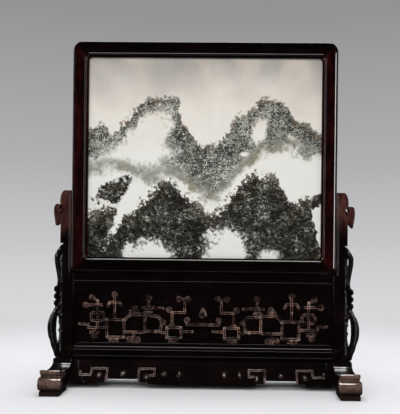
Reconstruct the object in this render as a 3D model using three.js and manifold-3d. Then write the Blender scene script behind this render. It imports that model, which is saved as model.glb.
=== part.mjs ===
// A table screen: a framed picture stone that stands in a carved hardwood stand.
// Millimetres, +Z up, the screen in the XZ plane and its front towards -Y.
// The origin is on the ground under the middle of the stand.
import * as THREE from "three";
import { mergeVertices } from "three/addons/utils/BufferGeometryUtils.js";
import Module from "manifold-3d";

// Fits
const pieceGap = 0.3; // left between pieces that touch
const tongueClearance = 0.5; // round the posts' tongues in the frame's grooves
const mitreGap = 0.45; // measured along the stiles

// Frame of the stone
const frameWidth = 462;
const frameHeight = 404;
const frameDepth = 32;
const outerBeadWidth = 4.5;
const frameFaceWidth = 15.5;
const innerBeadWidth = 3.5;
const sightLipWidth = 3.5;
const frameBeadProud = 1.6;
const sightLipSetBack = 4.5;
const frameTopRadius = 17;
const frameBottomRadius = 9;
const frameInnerRadius = 6;

// Stone
const stoneThickness = 14;
const stoneInGroove = 6;

// Posts
const postHeight = 293;
const postDepth = 28;
const postHeadWidth = 19;
const postHeadRadius = 8;
const postHeadBulge = 1.2;
const postHeadBulgeDrop = 19.8;
const postShaftWidth = 18.5;
const postBeadRadius = 1.4;
const postBeadInset = 2.5;
const tongueReach = 5;
const tongueThickness = 8;
const tongueBelowTop = 6;

// The hook on each post's head, measured from the head's outer top corner
const hookReach = 13.2;
const hookDepth = 22;
const hookTopDrop = 23.5;
const hookBulgeDrop = 35;
const hookTipDrop = 61.5;
const hookTipReach = 9.6;
const hookRootDrop = 53;
const hookNeckDrop = 27;
const hookNeckInset = 2.8;
const hookRootStep = 2.5;
const hookBellyDrop = 44;
const hookMouthReach = 1.5;
const hookEyeRadius = 1.7;
const hookEyeDrop = 29.9;
const hookEyeInset = 0.5;
const hookSlotLength = 8.4;
const hookSlotRadius = 1.2;
const hookSlotDrop = 36.8;
const hookSlotLean = 30; // degrees

// Rails
const railDepth = 26;
const railBeadRadius = 2.4;
const upperRailHeight = 24;
const lowerRailHeight = 21;
const upperRailBeadDrops = [2.4, 15.4];
const lowerRailBeadDrops = [7, 17.6];

// Carved panel
const panelHeight = 104;
const panelThickness = 12;
const panelRimWidth = 6;
const panelRimProud = 4;
const panelReliefHeight = 3;
const panelBandWidth = 3.2;
const panelCurlRadius = 4;
const panelKnobRadius = 2.7;
const jewelHalfWidth = 7;

// Aprons
const apronThickness = 8;
const apronLean = 24; // how far the lower edge stands out past the upper one
const apronGroundGap = 6.5;
const apronStepRise = 4;
const apronArchRise = 8.5;
const apronArchWidth = 55;
const apronArchMiddle = 136;
const apronStepWidth = 14.5;
const apronReliefHeight = 1.6;
const apronBandWidth = 2.6;
const apronKnobRadius = 2.4;
const apronSquareSize = 27;
const apronSquareTop = 31.6; // over the ground
const apronSquareBottom = 11.3;
const apronHookSize = 19;
const apronEndInset = 11;
const apronEndSweep = 15;
const apronDotsAt = [39, 65]; // from the middle

// Feet
const footLength = 206;
const footWidth = 32.5;
const footHeight = 47;
const footBlockMargin = 6; // the block's length past the post on each side
const footBlockStep = 7;
const footPadLength = 49;
const footPadHeight = 8;
const footRollRadius = 10.6;
const footRollProud = 2.3;
const footNeckRadius = 3;
const footLipRadius = 3.6;
const footLipRise = 1.9; // the lip's lower edge over the middle of the neck
const footLipSetBack = 5.5;
const footPadSetBack = 2;
const footSaddleHeight = 34;

// Spandrels: outline as shares of their height and reach
const spandrelTopDrop = 93; // its top below the post's top
const spandrelReach = 29;
const spandrelThickness = 12;
const spandrelBeadCount = 3;
const spandrelBeadRadius = 6.6;
const spandrelSlitHeight = 3;
const spandrelEyes = [
  [0.3, 0.86, 1.4, 8],
  [0.5, 0.89, 1.1, 1.4],
  [0.21, 0.585, 1.2, 4],
  [0.44, 0.475, 1.3, 1.6],
];

const wasm = await Module();
wasm.setup();

// Places that follow from the sizes above
const frameMember = outerBeadWidth + frameFaceWidth + innerBeadWidth + sightLipWidth;
const postHeadInner = frameWidth / 2 + tongueClearance;
const standInner = postHeadInner - tongueReach; // inner face of posts and feet
const postHeadOuter = postHeadInner + postHeadWidth;
const postShaftOuter = standInner + postShaftWidth;
const railLength = 2 * (standInner - pieceGap);
const lowerRailBottom = footHeight;
const lowerRailTop = lowerRailBottom + lowerRailHeight;
const panelBottom = lowerRailTop + pieceGap;
const upperRailBottom = panelBottom + panelHeight + pieceGap;
const upperRailTop = upperRailBottom + upperRailHeight;
const frameBottom = upperRailTop + pieceGap;
const frameTop = frameBottom + frameHeight;
const postBottom = footHeight + pieceGap;
const postTop = postBottom + postHeight;
const tongueTop = postTop - tongueBelowTop;
const spandrelHeight = postHeight - spandrelTopDrop;
const spandrelTop = postBottom + spandrelHeight;

// Solids: a closed geometry to a solid and back
function solid(geometry) {
  const bare = geometry.clone();
  bare.deleteAttribute("normal");
  bare.deleteAttribute("uv");
  const merged = mergeVertices(bare, 1e-3);
  return new wasm.Manifold(
    new wasm.Mesh({
      numProp: 3,
      vertProperties: merged.attributes.position.array,
      triVerts: new Uint32Array(merged.index.array),
    }),
  );
}

function geometryOf(body) {
  const mesh = body.getMesh();
  const geometry = new THREE.BufferGeometry();
  geometry.setAttribute("position", new THREE.BufferAttribute(mesh.vertProperties, 3));
  geometry.setIndex(new THREE.BufferAttribute(mesh.triVerts, 1));
  geometry.computeVertexNormals();
  return geometry;
}

const joined = (bodies) => bodies.reduce((whole, body) => whole.add(body));

// A box between two corners
function block(x0, x1, y0, y1, z0, z1) {
  const geometry = new THREE.BoxGeometry(x1 - x0, y1 - y0, z1 - z0);
  geometry.translate((x0 + x1) / 2, (y0 + y1) / 2, (z0 + z1) / 2);
  return solid(geometry);
}

// A shape drawn in the XZ plane, given its depth along Y
function plate(shape, yFront, yBack, curveSegments = 4) {
  const geometry = new THREE.ExtrudeGeometry(shape, {
    depth: yBack - yFront,
    bevelEnabled: false,
    curveSegments,
  });
  geometry.rotateX(Math.PI / 2);
  geometry.translate(0, yBack, 0);
  return solid(geometry);
}

// A section drawn in the YZ plane, run along X
function bar(section, x0, x1, curveSegments = 4) {
  const geometry = new THREE.ExtrudeGeometry(section, {
    depth: x1 - x0,
    bevelEnabled: false,
    curveSegments,
  });
  const alongX = new THREE.Matrix4().makeBasis(
    new THREE.Vector3(0, 1, 0),
    new THREE.Vector3(0, 0, 1),
    new THREE.Vector3(1, 0, 0),
  );
  geometry.applyMatrix4(alongX);
  geometry.translate(x0, 0, 0);
  return solid(geometry);
}

// A round rod along X or along Z
function rodAlongX(radius, x0, x1, y, z, sides) {
  const geometry = new THREE.CylinderGeometry(radius, radius, x1 - x0, sides);
  geometry.rotateZ(Math.PI / 2);
  geometry.translate((x0 + x1) / 2, y, z);
  return solid(geometry);
}

function rodAlongZ(radius, x, y, z0, z1, sides) {
  const geometry = new THREE.CylinderGeometry(radius, radius, z1 - z0, sides);
  geometry.rotateX(Math.PI / 2);
  geometry.translate(x, y, (z0 + z1) / 2);
  return solid(geometry);
}

function polygon(points) {
  return new THREE.Shape(points.map(([a, b]) => new THREE.Vector2(a, b)));
}

// Frame of the stone: rounded rings, joined, grooved for the stone and cut at the mitres
function roundedRectangle(path, inset) {
  const right = frameWidth / 2 - inset;
  const top = frameTop - inset;
  const bottom = frameBottom + inset;
  const share = inset / frameMember;
  const high = THREE.MathUtils.lerp(frameTopRadius, frameInnerRadius, share);
  const low = THREE.MathUtils.lerp(frameBottomRadius, frameInnerRadius, share);
  path.moveTo(right, bottom + low);
  path.absarc(right - high, top - high, high, 0, Math.PI / 2);
  path.absarc(-right + high, top - high, high, Math.PI / 2, Math.PI);
  path.absarc(-right + low, bottom + low, low, Math.PI, 1.5 * Math.PI);
  path.absarc(right - low, bottom + low, low, 1.5 * Math.PI, 2 * Math.PI);
  return path;
}

function frameRing(insetFrom, insetTo, halfDepth, rounding) {
  const shape = roundedRectangle(new THREE.Shape(), insetFrom + rounding);
  shape.holes.push(roundedRectangle(new THREE.Path(), insetTo - rounding));
  const geometry = new THREE.ExtrudeGeometry(shape, {
    depth: 2 * (halfDepth - rounding),
    bevelEnabled: rounding > 0,
    bevelSize: rounding,
    bevelThickness: rounding,
    bevelSegments: 2,
    curveSegments: 2,
  });
  geometry.translate(0, 0, -(halfDepth - rounding));
  geometry.rotateX(Math.PI / 2);
  return solid(geometry);
}

function wholeFrame() {
  const bead = frameDepth / 2;
  const face = bead - frameBeadProud;
  const innerBeadFrom = outerBeadWidth + frameFaceWidth;
  const innerBeadTo = innerBeadFrom + innerBeadWidth;
  const seat = stoneInGroove + pieceGap;
  const seatX = frameWidth / 2 - frameMember + seat;
  const ring = joined([
    frameRing(0, outerBeadWidth, bead, outerBeadWidth / 2),
    frameRing(outerBeadWidth / 2, innerBeadTo - innerBeadWidth / 2, face, 0),
    frameRing(innerBeadFrom, innerBeadTo, bead, innerBeadWidth / 2),
    frameRing(innerBeadTo - innerBeadWidth / 2, frameMember, bead - sightLipSetBack, 0),
  ]);
  const stoneSeat = block(
    -seatX,
    seatX,
    -stoneThickness / 2 - pieceGap,
    stoneThickness / 2 + pieceGap,
    frameBottom + frameMember - seat,
    frameTop - frameMember + seat,
  );
  const grooveFloor = frameWidth / 2 - tongueReach - tongueClearance;
  const grooveHalf = tongueThickness / 2 + tongueClearance;
  const past = frameWidth / 2 + 1;
  const grooveFrom = frameBottom - 1;
  const grooveTo = tongueTop + tongueClearance;
  return ring
    .subtract(stoneSeat)
    .subtract(block(grooveFloor, past, -grooveHalf, grooveHalf, grooveFrom, grooveTo))
    .subtract(block(-past, -grooveFloor, -grooveHalf, grooveHalf, grooveFrom, grooveTo));
}

// One member of the frame is what lies on its side of both mitre lines
function frameMembers() {
  const frame = wholeFrame();
  const past = frameMember + 1;
  const out = frameWidth / 2;
  const stileMitre = polygon([
    [out + 1, frameBottom - 1 + mitreGap],
    [out + 1, frameTop + 1 - mitreGap],
    [out - past, frameTop - past - mitreGap],
    [out - past, frameBottom + past + mitreGap],
  ]);
  const railMitre = (edge, inward) =>
    polygon([
      [-out - 1, edge - inward],
      [out + 1, edge - inward],
      [out - past, edge + inward * past],
      [-out + past, edge + inward * past],
    ]);
  const halfDepth = frameDepth / 2 + 1;
  const stile = frame.intersect(plate(stileMitre, -halfDepth, halfDepth));
  const topRail = frame.intersect(plate(railMitre(frameTop, -1), -halfDepth, halfDepth));
  const bottomRail = frame.intersect(plate(railMitre(frameBottom, 1), -halfDepth, halfDepth));
  return { stile, topRail, bottomRail };
}

function stoneSlab() {
  const halfWidth = frameWidth / 2 - frameMember + stoneInGroove;
  const inset = frameMember - stoneInGroove;
  return block(
    -halfWidth,
    halfWidth,
    -stoneThickness / 2,
    stoneThickness / 2,
    frameBottom + inset,
    frameTop - inset,
  );
}

// Posts, drawn on the right-hand side
function post() {
  const outer = postHeadOuter;
  const outline = new THREE.Shape();
  outline.moveTo(standInner, postBottom);
  outline.lineTo(postShaftOuter, postBottom);
  outline.lineTo(postShaftOuter, spandrelTop + pieceGap);
  outline.lineTo(outer, spandrelTop + pieceGap);
  outline.lineTo(outer, postTop - hookNeckDrop - 1);
  outline.lineTo(outer - hookNeckInset, postTop - hookNeckDrop);
  outline.quadraticCurveTo(
    outer + postHeadBulge,
    postTop - hookTopDrop,
    outer + postHeadBulge,
    postTop - postHeadBulgeDrop,
  );
  outline.quadraticCurveTo(outer, postTop, outer - postHeadRadius, postTop);
  outline.lineTo(postHeadInner, postTop);
  outline.lineTo(postHeadInner, upperRailTop);
  outline.lineTo(standInner, upperRailTop);
  const hookInner = outer - hookNeckInset - 1;
  const hook = new THREE.Shape();
  hook.moveTo(hookInner, postTop - hookRootDrop);
  hook.lineTo(outer + hookRootStep, postTop - hookRootDrop);
  hook.lineTo(outer + hookTipReach, postTop - hookTipDrop);
  hook.quadraticCurveTo(
    outer + hookReach,
    postTop - hookBellyDrop,
    outer + hookReach,
    postTop - hookBulgeDrop,
  );
  hook.quadraticCurveTo(
    outer + hookReach,
    postTop - hookTopDrop,
    outer + hookReach / 2,
    postTop - hookTopDrop,
  );
  hook.lineTo(outer + hookMouthReach, postTop - hookTopDrop);
  hook.lineTo(outer - hookNeckInset, postTop - hookNeckDrop);
  hook.lineTo(hookInner, postTop - hookNeckDrop - 1);
  const half = postDepth / 2;
  const eye = new THREE.Shape();
  eye.absarc(outer - hookEyeInset, postTop - hookEyeDrop, hookEyeRadius, 0, 2 * Math.PI);
  const slot = new THREE.Shape();
  slot.absarc(0, hookSlotLength / 2, hookSlotRadius, 0, Math.PI);
  slot.absarc(0, -hookSlotLength / 2, hookSlotRadius, Math.PI, 2 * Math.PI);
  const slotCut = geometryOf(plate(slot, -half - 1, half + 1));
  slotCut.rotateY(-THREE.MathUtils.degToRad(hookSlotLean));
  slotCut.translate(outer - hookNeckInset, 0, postTop - hookSlotDrop);
  const tongue = block(
    standInner,
    postHeadInner + 1,
    -tongueThickness / 2,
    tongueThickness / 2,
    upperRailTop - 1,
    tongueTop,
  );
  const beadX = postHeadInner + postBeadInset;
  const beads = [-1, 1].map((side) =>
    rodAlongZ(postBeadRadius, beadX, (side * postDepth) / 2, upperRailTop, tongueTop, 8),
  );
  return joined([
    plate(outline, -half, half),
    plate(hook, -hookDepth / 2, hookDepth / 2),
    tongue,
    ...beads,
  ])
    .subtract(plate(eye, -half - 1, half + 1))
    .subtract(solid(slotCut));
}

// Feet, drawn on the right-hand side
function foot() {
  const end = footLength / 2;
  const rollY = end - footRollRadius;
  const rollZ = footPadHeight + footRollRadius;
  const padInner = end - footPadLength;
  const padOuter = end - footPadSetBack;
  const blockEnd = postDepth / 2 + footBlockMargin;
  const lipEnd = end - footLipSetBack;
  const lipY = lipEnd - footLipRadius;
  const neckY = lipEnd - footNeckRadius;
  const neckZ = rollZ + footRollRadius + footNeckRadius;
  const lipZ = neckZ + footLipRise + footLipRadius;
  const section = new THREE.Shape();
  section.moveTo(0, footPadHeight);
  section.lineTo(padInner, footPadHeight);
  section.lineTo(padInner, 0);
  section.lineTo(padOuter, 0);
  section.lineTo(padOuter, footPadHeight - pieceGap);
  section.lineTo(rollY, footPadHeight + pieceGap);
  section.lineTo(rollY, neckZ - footNeckRadius);
  section.absarc(neckY, neckZ, footNeckRadius, -Math.PI / 2, -Math.PI, true);
  section.lineTo(neckY, lipZ - footLipRadius);
  section.absarc(lipY, lipZ, footLipRadius, -Math.PI / 2, Math.PI / 2);
  const saddleMiddle = (lipY + blockEnd) / 2;
  section.quadraticCurveTo(
    THREE.MathUtils.lerp(lipY, saddleMiddle, 0.6),
    footSaddleHeight,
    saddleMiddle,
    footSaddleHeight,
  );
  section.quadraticCurveTo(
    THREE.MathUtils.lerp(blockEnd, saddleMiddle, 0.2),
    footSaddleHeight,
    blockEnd + footPadSetBack,
    footHeight - footBlockStep,
  );
  section.lineTo(blockEnd, footHeight);
  section.lineTo(0, footHeight);
  const halfFoot = bar(section, standInner, standInner + footWidth);
  const roll = rodAlongX(
    footRollRadius,
    standInner - footRollProud,
    standInner + footWidth + footRollProud,
    rollY,
    rollZ,
    20,
  );
  const back = halfFoot.add(roll);
  const front = geometryOf(back).rotateZ(Math.PI);
  front.translate(2 * standInner + footWidth, 0, 0);
  return back.add(solid(front));
}

// Spandrels, drawn on the right-hand side against the post's shaft
function spandrel() {
  const x0 = postShaftOuter + pieceGap;
  const z0 = postBottom;
  const at = (reach, height) => [x0 + reach * spandrelReach, z0 + height * spandrelHeight];
  const edge = [
    [0.31, 0.965],
    [0.52, 0.925],
    [0.61, 0.885],
    [0.58, 0.82],
    [0.48, 0.74],
    [0.42, 0.675],
    [0.46, 0.62],
    [0.5, 0.45],
    [0.82, 0.37],
    [0.97, 0.305],
    [1, 0.245],
    [0.95, 0.185],
    [0.83, 0.135],
    [0.77, 0.095],
    [0.62, 0.04],
  ];
  const outline = new THREE.Shape();
  outline.moveTo(x0, z0);
  outline.lineTo(x0, z0 + spandrelHeight);
  outline.lineTo(...at(0.1, 1));
  outline.splineThru(edge.map(([reach, height]) => new THREE.Vector2(...at(reach, height))));
  outline.lineTo(...at(0.55, 0));
  const body = plate(outline, -spandrelThickness / 2, spandrelThickness / 2, 2);
  const [beadX, beadLow] = at(0.42, 0.44);
  const beadHigh = at(0, 0.63)[1];
  const beadPitch = (beadHigh - beadLow - 2 * spandrelBeadRadius) / (spandrelBeadCount - 1);
  const beads = [];
  for (let i = 0; i < spandrelBeadCount; i++) {
    const lobe = new THREE.Shape();
    lobe.absarc(beadX, beadLow + spandrelBeadRadius + i * beadPitch, spandrelBeadRadius, 0, 2 * Math.PI);
    beads.push(plate(lobe, -spandrelThickness / 2, spandrelThickness / 2, 5));
  }
  const through = spandrelThickness / 2 + 1;
  const [holeX, holeZ] = at(0.41, 0.245);
  const hole = new THREE.Shape();
  hole.absellipse(holeX, holeZ, 0.135 * spandrelReach, 0.12 * spandrelHeight, 0, 2 * Math.PI);
  const slits = [0.145, 0.34].map((height) => {
    const [slitX, slitZ] = at(0.08, height);
    return block(slitX, holeX, -through, through, slitZ, slitZ + spandrelSlitHeight);
  });
  const eyes = spandrelEyes.map(([reach, height, radius, halfHeight]) => {
    const eye = new THREE.Shape();
    eye.absellipse(...at(reach, height), radius, halfHeight, 0, 2 * Math.PI);
    return plate(eye, -through, through, 3);
  });
  return joined([body, ...beads])
    .subtract(plate(hole, -through, through, 6))
    .subtract(joined(slits))
    .subtract(joined(eyes));
}

// Rails between the posts, with half-round beads on both faces
function rail(bottom, height, beadHeights) {
  const half = railLength / 2;
  const core = block(-half, half, -railDepth / 2, railDepth / 2, bottom, bottom + height);
  const beads = beadHeights.flatMap((z) =>
    [-1, 1].map((side) => rodAlongX(railBeadRadius, -half, half, (side * railDepth) / 2, z, 12)),
  );
  return joined([core, ...beads]);
}

// Carving: square-cut bands from point to point, curls as pierced discs and knobs as small cones
function band(points, width, yFront, yBack) {
  const bars = [];
  for (let i = 1; i < points.length; i++) {
    const [xa, za] = points[i - 1];
    const [xb, zb] = points[i];
    const length = Math.hypot(xb - xa, zb - za) + width;
    const geometry = new THREE.BoxGeometry(length, yBack - yFront, width);
    geometry.rotateY(-Math.atan2(zb - za, xb - xa));
    geometry.translate((xa + xb) / 2, (yFront + yBack) / 2, (za + zb) / 2);
    bars.push(solid(geometry));
  }
  return joined(bars);
}

function curl(x, z, radius, yFront, yBack) {
  const disc = new THREE.Shape();
  disc.absarc(x, z, radius, 0, 2 * Math.PI);
  disc.holes.push(new THREE.Path().absarc(x, z, radius * 0.36, 0, 2 * Math.PI));
  return plate(disc, yFront, yBack, 4);
}

function knob(x, z, radius, yFront, yBack) {
  const geometry = new THREE.CylinderGeometry(radius, radius * 0.6, yBack - yFront, 6);
  geometry.translate(x, (yFront + yBack) / 2, z);
  return solid(geometry);
}

// The fret of dragon scrolls on the panel's right half, in cells counted from the middle
const fretBands = [
  [[0, -2.6], [5.5, -2.6], [5.5, -1.6]],
  [[6.4, 5.4], [6.4, 1.5], [11.2, 1.5]],
  [[10.8, 1.5], [10.8, -3]],
  [[9.8, -3], [11.9, -3]],
  [[12.6, -3.6], [7.6, -3.6], [7.6, -7.2], [12.6, -7.2], [12.6, -3.6]],
  [[7.6, -5], [3.9, -5]],
  [[10.3, -7.2], [10.3, -9]],
  [[14.4, -2.6], [15, -5], [20.3, -5]],
  [[16.4, 2.9], [14.2, 2.9]],
  [[19, 3.6], [19, 5.6]],
  [[20.3, -5.4], [27.7, -5.4], [27.7, -1.4], [25.6, 0.6], [20.3, 0.6], [20.3, -5.4]],
  [[24.2, -5.4], [24.2, -9]],
  [[24, 0.6], [24, 2]],
  [[27.7, -1.2], [33.7, -1.2], [33.7, -7.2], [27.7, -7.2], [27.7, -1.2]],
  [[28.4, 3.2], [29.3, 4.8], [32.7, 4.8], [33.6, 3.2]],
  [[31, 6.8], [31, -1.2]],
  [[31.3, -7.2], [31.3, -9]],
  [[33.7, -4], [40.2, -4], [40.2, -2.8], [43.6, -2.8]],
  [[37, 5.4], [37, -4]],
  [[37, 5.4], [38.4, 5.8]],
  [[37, 3.6], [40.4, 3.6]],
  [[37, 0.3], [39.2, 0.3]],
  [[38, -4], [38, -6]],
  [[36.2, 0], [37, -1]],
  [[25.4, -7.6], [24.2, -7]],
  [[23.1, -8], [24.2, -7.4]],
];
const fretCurls = [
  [5.2, 6.2], [8.4, 6.2], [11.8, 2.5], [14, -1.9], [18.9, 6.4], [23.9, 2.8],
  [25.8, -8.3], [22.8, -8.7], [31, 7.5], [38.9, 6.5], [41.2, 3.8], [39.7, 0.6],
  [35.4, 0], [38, -6.9], [5.5, -1.1],
];
const fretKnobs = [[3.6, -5], [16.4, -6], [14, 2.9]];
const fretRosettes = [[19.2, 1.4]];
const rosettePetals = 6;
const fretColumns = 0.4 + Math.max(...fretBands.flat().map(([across]) => across));
const fretRows = Math.max(...fretBands.flat().map(([, up]) => Math.abs(up)));

function carvedPanel() {
  const half = railLength / 2;
  const top = panelBottom + panelHeight;
  const face = -panelThickness / 2;
  const rimFace = panelThickness / 2 + panelRimProud;
  const fieldX = half - panelRimWidth;
  const fieldZ = panelHeight / 2 - panelRimWidth;
  const middle = panelBottom + panelHeight / 2;
  const rim = block(-half, half, -rimFace, rimFace, panelBottom, top).subtract(
    block(
      -fieldX,
      fieldX,
      -rimFace - 1,
      rimFace + 1,
      panelBottom + panelRimWidth,
      top - panelRimWidth,
    ),
  );
  const board = block(-half, half, face, -face, panelBottom, top);
  const column = fieldX / fretColumns;
  const row = fieldZ / fretRows;
  const front = face - panelReliefHeight;
  const carving = [];
  for (const side of [-1, 1]) {
    const place = ([across, up]) => [side * across * column, middle + up * row];
    for (const points of fretBands) {
      carving.push(band(points.map(place), panelBandWidth, front, face + 1));
    }
    for (const spot of fretCurls) {
      carving.push(curl(...place(spot), panelCurlRadius, front, face + 1));
    }
    for (const spot of fretKnobs) {
      carving.push(knob(...place(spot), panelKnobRadius, front, face + 1));
    }
    for (const spot of fretRosettes) {
      const [x, z] = place(spot);
      const petalAt = 1.9 * panelKnobRadius;
      carving.push(knob(x, z, panelKnobRadius * 1.5, front - 0.6, face + 1));
      for (let i = 0; i < rosettePetals; i++) {
        const turn = (2 * Math.PI * i) / rosettePetals;
        const petalX = x + petalAt * Math.cos(turn);
        carving.push(knob(petalX, z + petalAt * Math.sin(turn), panelKnobRadius, front, face + 1));
      }
    }
  }
  const jewel = jewelHalfWidth;
  const jewelZ = middle + row;
  carving.push(
    plate(
      polygon([
        [-jewel, jewelZ - 0.3 * jewel],
        [0, jewelZ - jewel],
        [jewel, jewelZ - 0.3 * jewel],
        [0, jewelZ + 1.2 * jewel],
      ]),
      front,
      face + 1,
    ),
  );
  return joined([board, rim, ...carving]);
}

// Aprons: a leaning board under the lower rail, its lower edge stepped into two arches
function apronOutline() {
  const half = railLength / 2;
  const low = apronGroundGap;
  const step = low + apronStepRise;
  const arch = low + apronArchRise;
  const archFrom = apronArchMiddle - apronArchWidth / 2;
  const archTo = apronArchMiddle + apronArchWidth / 2;
  const rightHalf = [
    [archFrom - apronStepWidth, low],
    [archFrom - apronStepWidth, step],
    [archFrom, step],
    [archFrom, arch],
    [archTo, arch],
    [archTo, step],
    [archTo + apronStepWidth, step],
    [archTo + apronStepWidth, low],
    [half, low],
  ];
  const top = lowerRailBottom - pieceGap;
  const leftHalf = rightHalf.map(([x, z]) => [-x, z]).reverse();
  return [...leftHalf, ...rightHalf, [half, top], [-half, top]];
}

function leaningSlab(proud) {
  const top = lowerRailBottom - pieceGap;
  const front = -railDepth / 2 - proud;
  const back = -railDepth / 2 + apronThickness;
  const section = polygon([
    [front, top],
    [front - apronLean, apronGroundGap],
    [back - apronLean, apronGroundGap],
    [back, top],
  ]);
  return bar(section, -railLength / 2, railLength / 2);
}

// Fret squares, hooks and dots on the front apron, and the curved bead at its ends

function apronCarving() {
  const archFrom = apronArchMiddle - apronArchWidth / 2;
  const archTo = apronArchMiddle + apronArchWidth / 2;
  const squareTop = apronSquareTop;
  const squareBottom = apronSquareBottom;
  const squareMiddle = (squareTop + squareBottom) / 2;
  const inner = archFrom - apronSquareSize;
  const outer = archTo + apronSquareSize;
  const hookEnd = outer + apronHookSize;
  const endX = railLength / 2 - apronEndInset;
  const endTop = lowerRailBottom - apronKnobRadius;
  const endBead = new THREE.QuadraticBezierCurve(
    new THREE.Vector2(endX, endTop),
    new THREE.Vector2(endX + apronBandWidth, (endTop + apronGroundGap) / 2),
    new THREE.Vector2(endX - apronEndSweep, apronGroundGap + 1),
  );
  const bands = [
    [[archFrom, squareBottom], [archFrom, squareTop], [inner, squareTop], [inner, squareMiddle]],
    [[archTo, squareBottom], [archTo, squareTop], [outer, squareTop], [outer, squareMiddle]],
    [[outer, squareMiddle], [hookEnd, squareMiddle], [hookEnd, squareTop - apronBandWidth]],
    endBead.getPoints(4).map((point) => [point.x, point.y]),
  ];
  const dots = [
    [apronArchMiddle, squareMiddle + apronKnobRadius],
    [archFrom - apronSquareSize / 2, squareMiddle],
    [archTo + apronSquareSize / 2, squareMiddle],
    ...apronDotsAt.map((x) => [x, squareMiddle + apronKnobRadius]),
  ];
  const through = -railDepth / 2 - apronLean - apronReliefHeight;
  const pieces = [];
  for (const side of [-1, 1]) {
    for (const points of bands) {
      const placed = points.map(([x, z]) => [side * x, z]);
      pieces.push(band(placed, apronBandWidth, through, 0));
    }
    for (const [x, z] of dots) {
      pieces.push(knob(side * x, z, apronKnobRadius, through, 0));
    }
  }
  return joined(pieces).intersect(leaningSlab(apronReliefHeight));
}

function apron(carved) {
  const reach = railDepth / 2 + apronLean + apronReliefHeight + 1;
  const outline = plate(polygon(apronOutline()), -reach, 0);
  const board = leaningSlab(0).intersect(outline);
  return carved ? board.add(apronCarving().intersect(outline)) : board;
}

// Materials
const darkWood = new THREE.MeshStandardMaterial({ color: 0x1d0b09, roughness: 0.3, metalness: 0 });
const redWood = new THREE.MeshStandardMaterial({ color: 0x3a1512, roughness: 0.32, metalness: 0 });
const wornWood = new THREE.MeshStandardMaterial({ color: 0x5a3a2e, roughness: 0.36, metalness: 0 });
const stone = new THREE.MeshStandardMaterial({ color: 0xd9d6c8, roughness: 0.25, metalness: 0 });

// Scene graph
const screen = new THREE.Group();
const stand = new THREE.Group();

function place(group, name, body, material, mirrored = false, turned = false) {
  const mesh = new THREE.Mesh(geometryOf(body), material);
  mesh.name = name;
  if (mirrored) mesh.scale.x = -1;
  if (turned) mesh.rotation.z = Math.PI;
  group.add(mesh);
}

const members = frameMembers();
place(screen, "frame_top_rail", members.topRail, redWood);
place(screen, "frame_bottom_rail", members.bottomRail, redWood);
place(screen, "frame_left_stile", members.stile, redWood, true);
place(screen, "frame_right_stile", members.stile, redWood);
place(screen, "stone_panel", stoneSlab(), stone);

const onePost = post();
const oneFoot = foot();
const oneSpandrel = spandrel();
place(stand, "left_post", onePost, redWood, true);
place(stand, "right_post", onePost, redWood);
place(stand, "left_foot", oneFoot, wornWood, true);
place(stand, "right_foot", oneFoot, wornWood);
place(stand, "left_spandrel", oneSpandrel, darkWood, true);
place(stand, "right_spandrel", oneSpandrel, darkWood);

const upperBeads = [upperRailTop - upperRailBeadDrops[0], upperRailTop - upperRailBeadDrops[1]];
const lowerBeads = [lowerRailTop - lowerRailBeadDrops[0], lowerRailTop - lowerRailBeadDrops[1]];
place(stand, "stand_upper_rail", rail(upperRailBottom, upperRailHeight, upperBeads), darkWood);
place(stand, "stand_lower_rail", rail(lowerRailBottom, lowerRailHeight, lowerBeads), darkWood);
place(stand, "carved_panel", carvedPanel(), darkWood);
place(stand, "front_apron", apron(true), darkWood);
place(stand, "back_apron", apron(false), darkWood, false, true);

const tableScreen = new THREE.Group();
tableScreen.add(screen, stand);

export default tableScreen;
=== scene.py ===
import math

import bpy
from mathutils import Matrix, Vector


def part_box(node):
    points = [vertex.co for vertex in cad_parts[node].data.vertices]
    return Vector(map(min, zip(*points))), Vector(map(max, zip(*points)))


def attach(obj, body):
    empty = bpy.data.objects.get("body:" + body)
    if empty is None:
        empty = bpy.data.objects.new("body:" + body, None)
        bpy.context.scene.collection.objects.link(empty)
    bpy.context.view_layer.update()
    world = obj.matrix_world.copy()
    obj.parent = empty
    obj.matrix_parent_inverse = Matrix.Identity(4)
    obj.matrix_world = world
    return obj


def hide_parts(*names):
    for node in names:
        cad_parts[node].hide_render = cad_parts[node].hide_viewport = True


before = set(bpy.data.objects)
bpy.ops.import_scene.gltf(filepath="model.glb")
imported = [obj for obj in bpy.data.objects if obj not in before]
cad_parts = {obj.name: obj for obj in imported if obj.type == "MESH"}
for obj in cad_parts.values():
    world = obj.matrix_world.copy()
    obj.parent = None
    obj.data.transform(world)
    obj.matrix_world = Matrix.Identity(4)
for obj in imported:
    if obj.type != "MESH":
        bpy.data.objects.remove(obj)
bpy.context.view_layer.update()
mm = 0.001


# Small helpers for modelling

overlap = 1.0  # how far cutters and joined parts reach past each other


def selectOnly(*objects):
    bpy.ops.object.select_all(action="DESELECT")
    for obj in objects:
        obj.select_set(True)
    bpy.context.view_layer.objects.active = objects[0]


def editWhole(obj):
    selectOnly(obj)
    bpy.ops.object.mode_set(mode="EDIT")
    bpy.ops.mesh.select_all(action="SELECT")


def endEdit():
    bpy.ops.object.mode_set(mode="OBJECT")


def linked(name, data):
    obj = bpy.data.objects.new(name, data)
    bpy.context.scene.collection.objects.link(obj)
    return obj


def named(obj, name):
    obj.name = name
    obj.data.name = name
    return obj


def twin(obj):
    # a copy with its own mesh
    other = obj.copy()
    other.data = obj.data.copy()
    bpy.context.scene.collection.objects.link(other)
    return other


def mirrored(obj, name):
    # a copy on the other side of the screen
    other = named(twin(obj), name)
    other.data.transform(Matrix.Scale(-1, 4, (1, 0, 0)))
    other.data.flip_normals()
    return other


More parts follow.
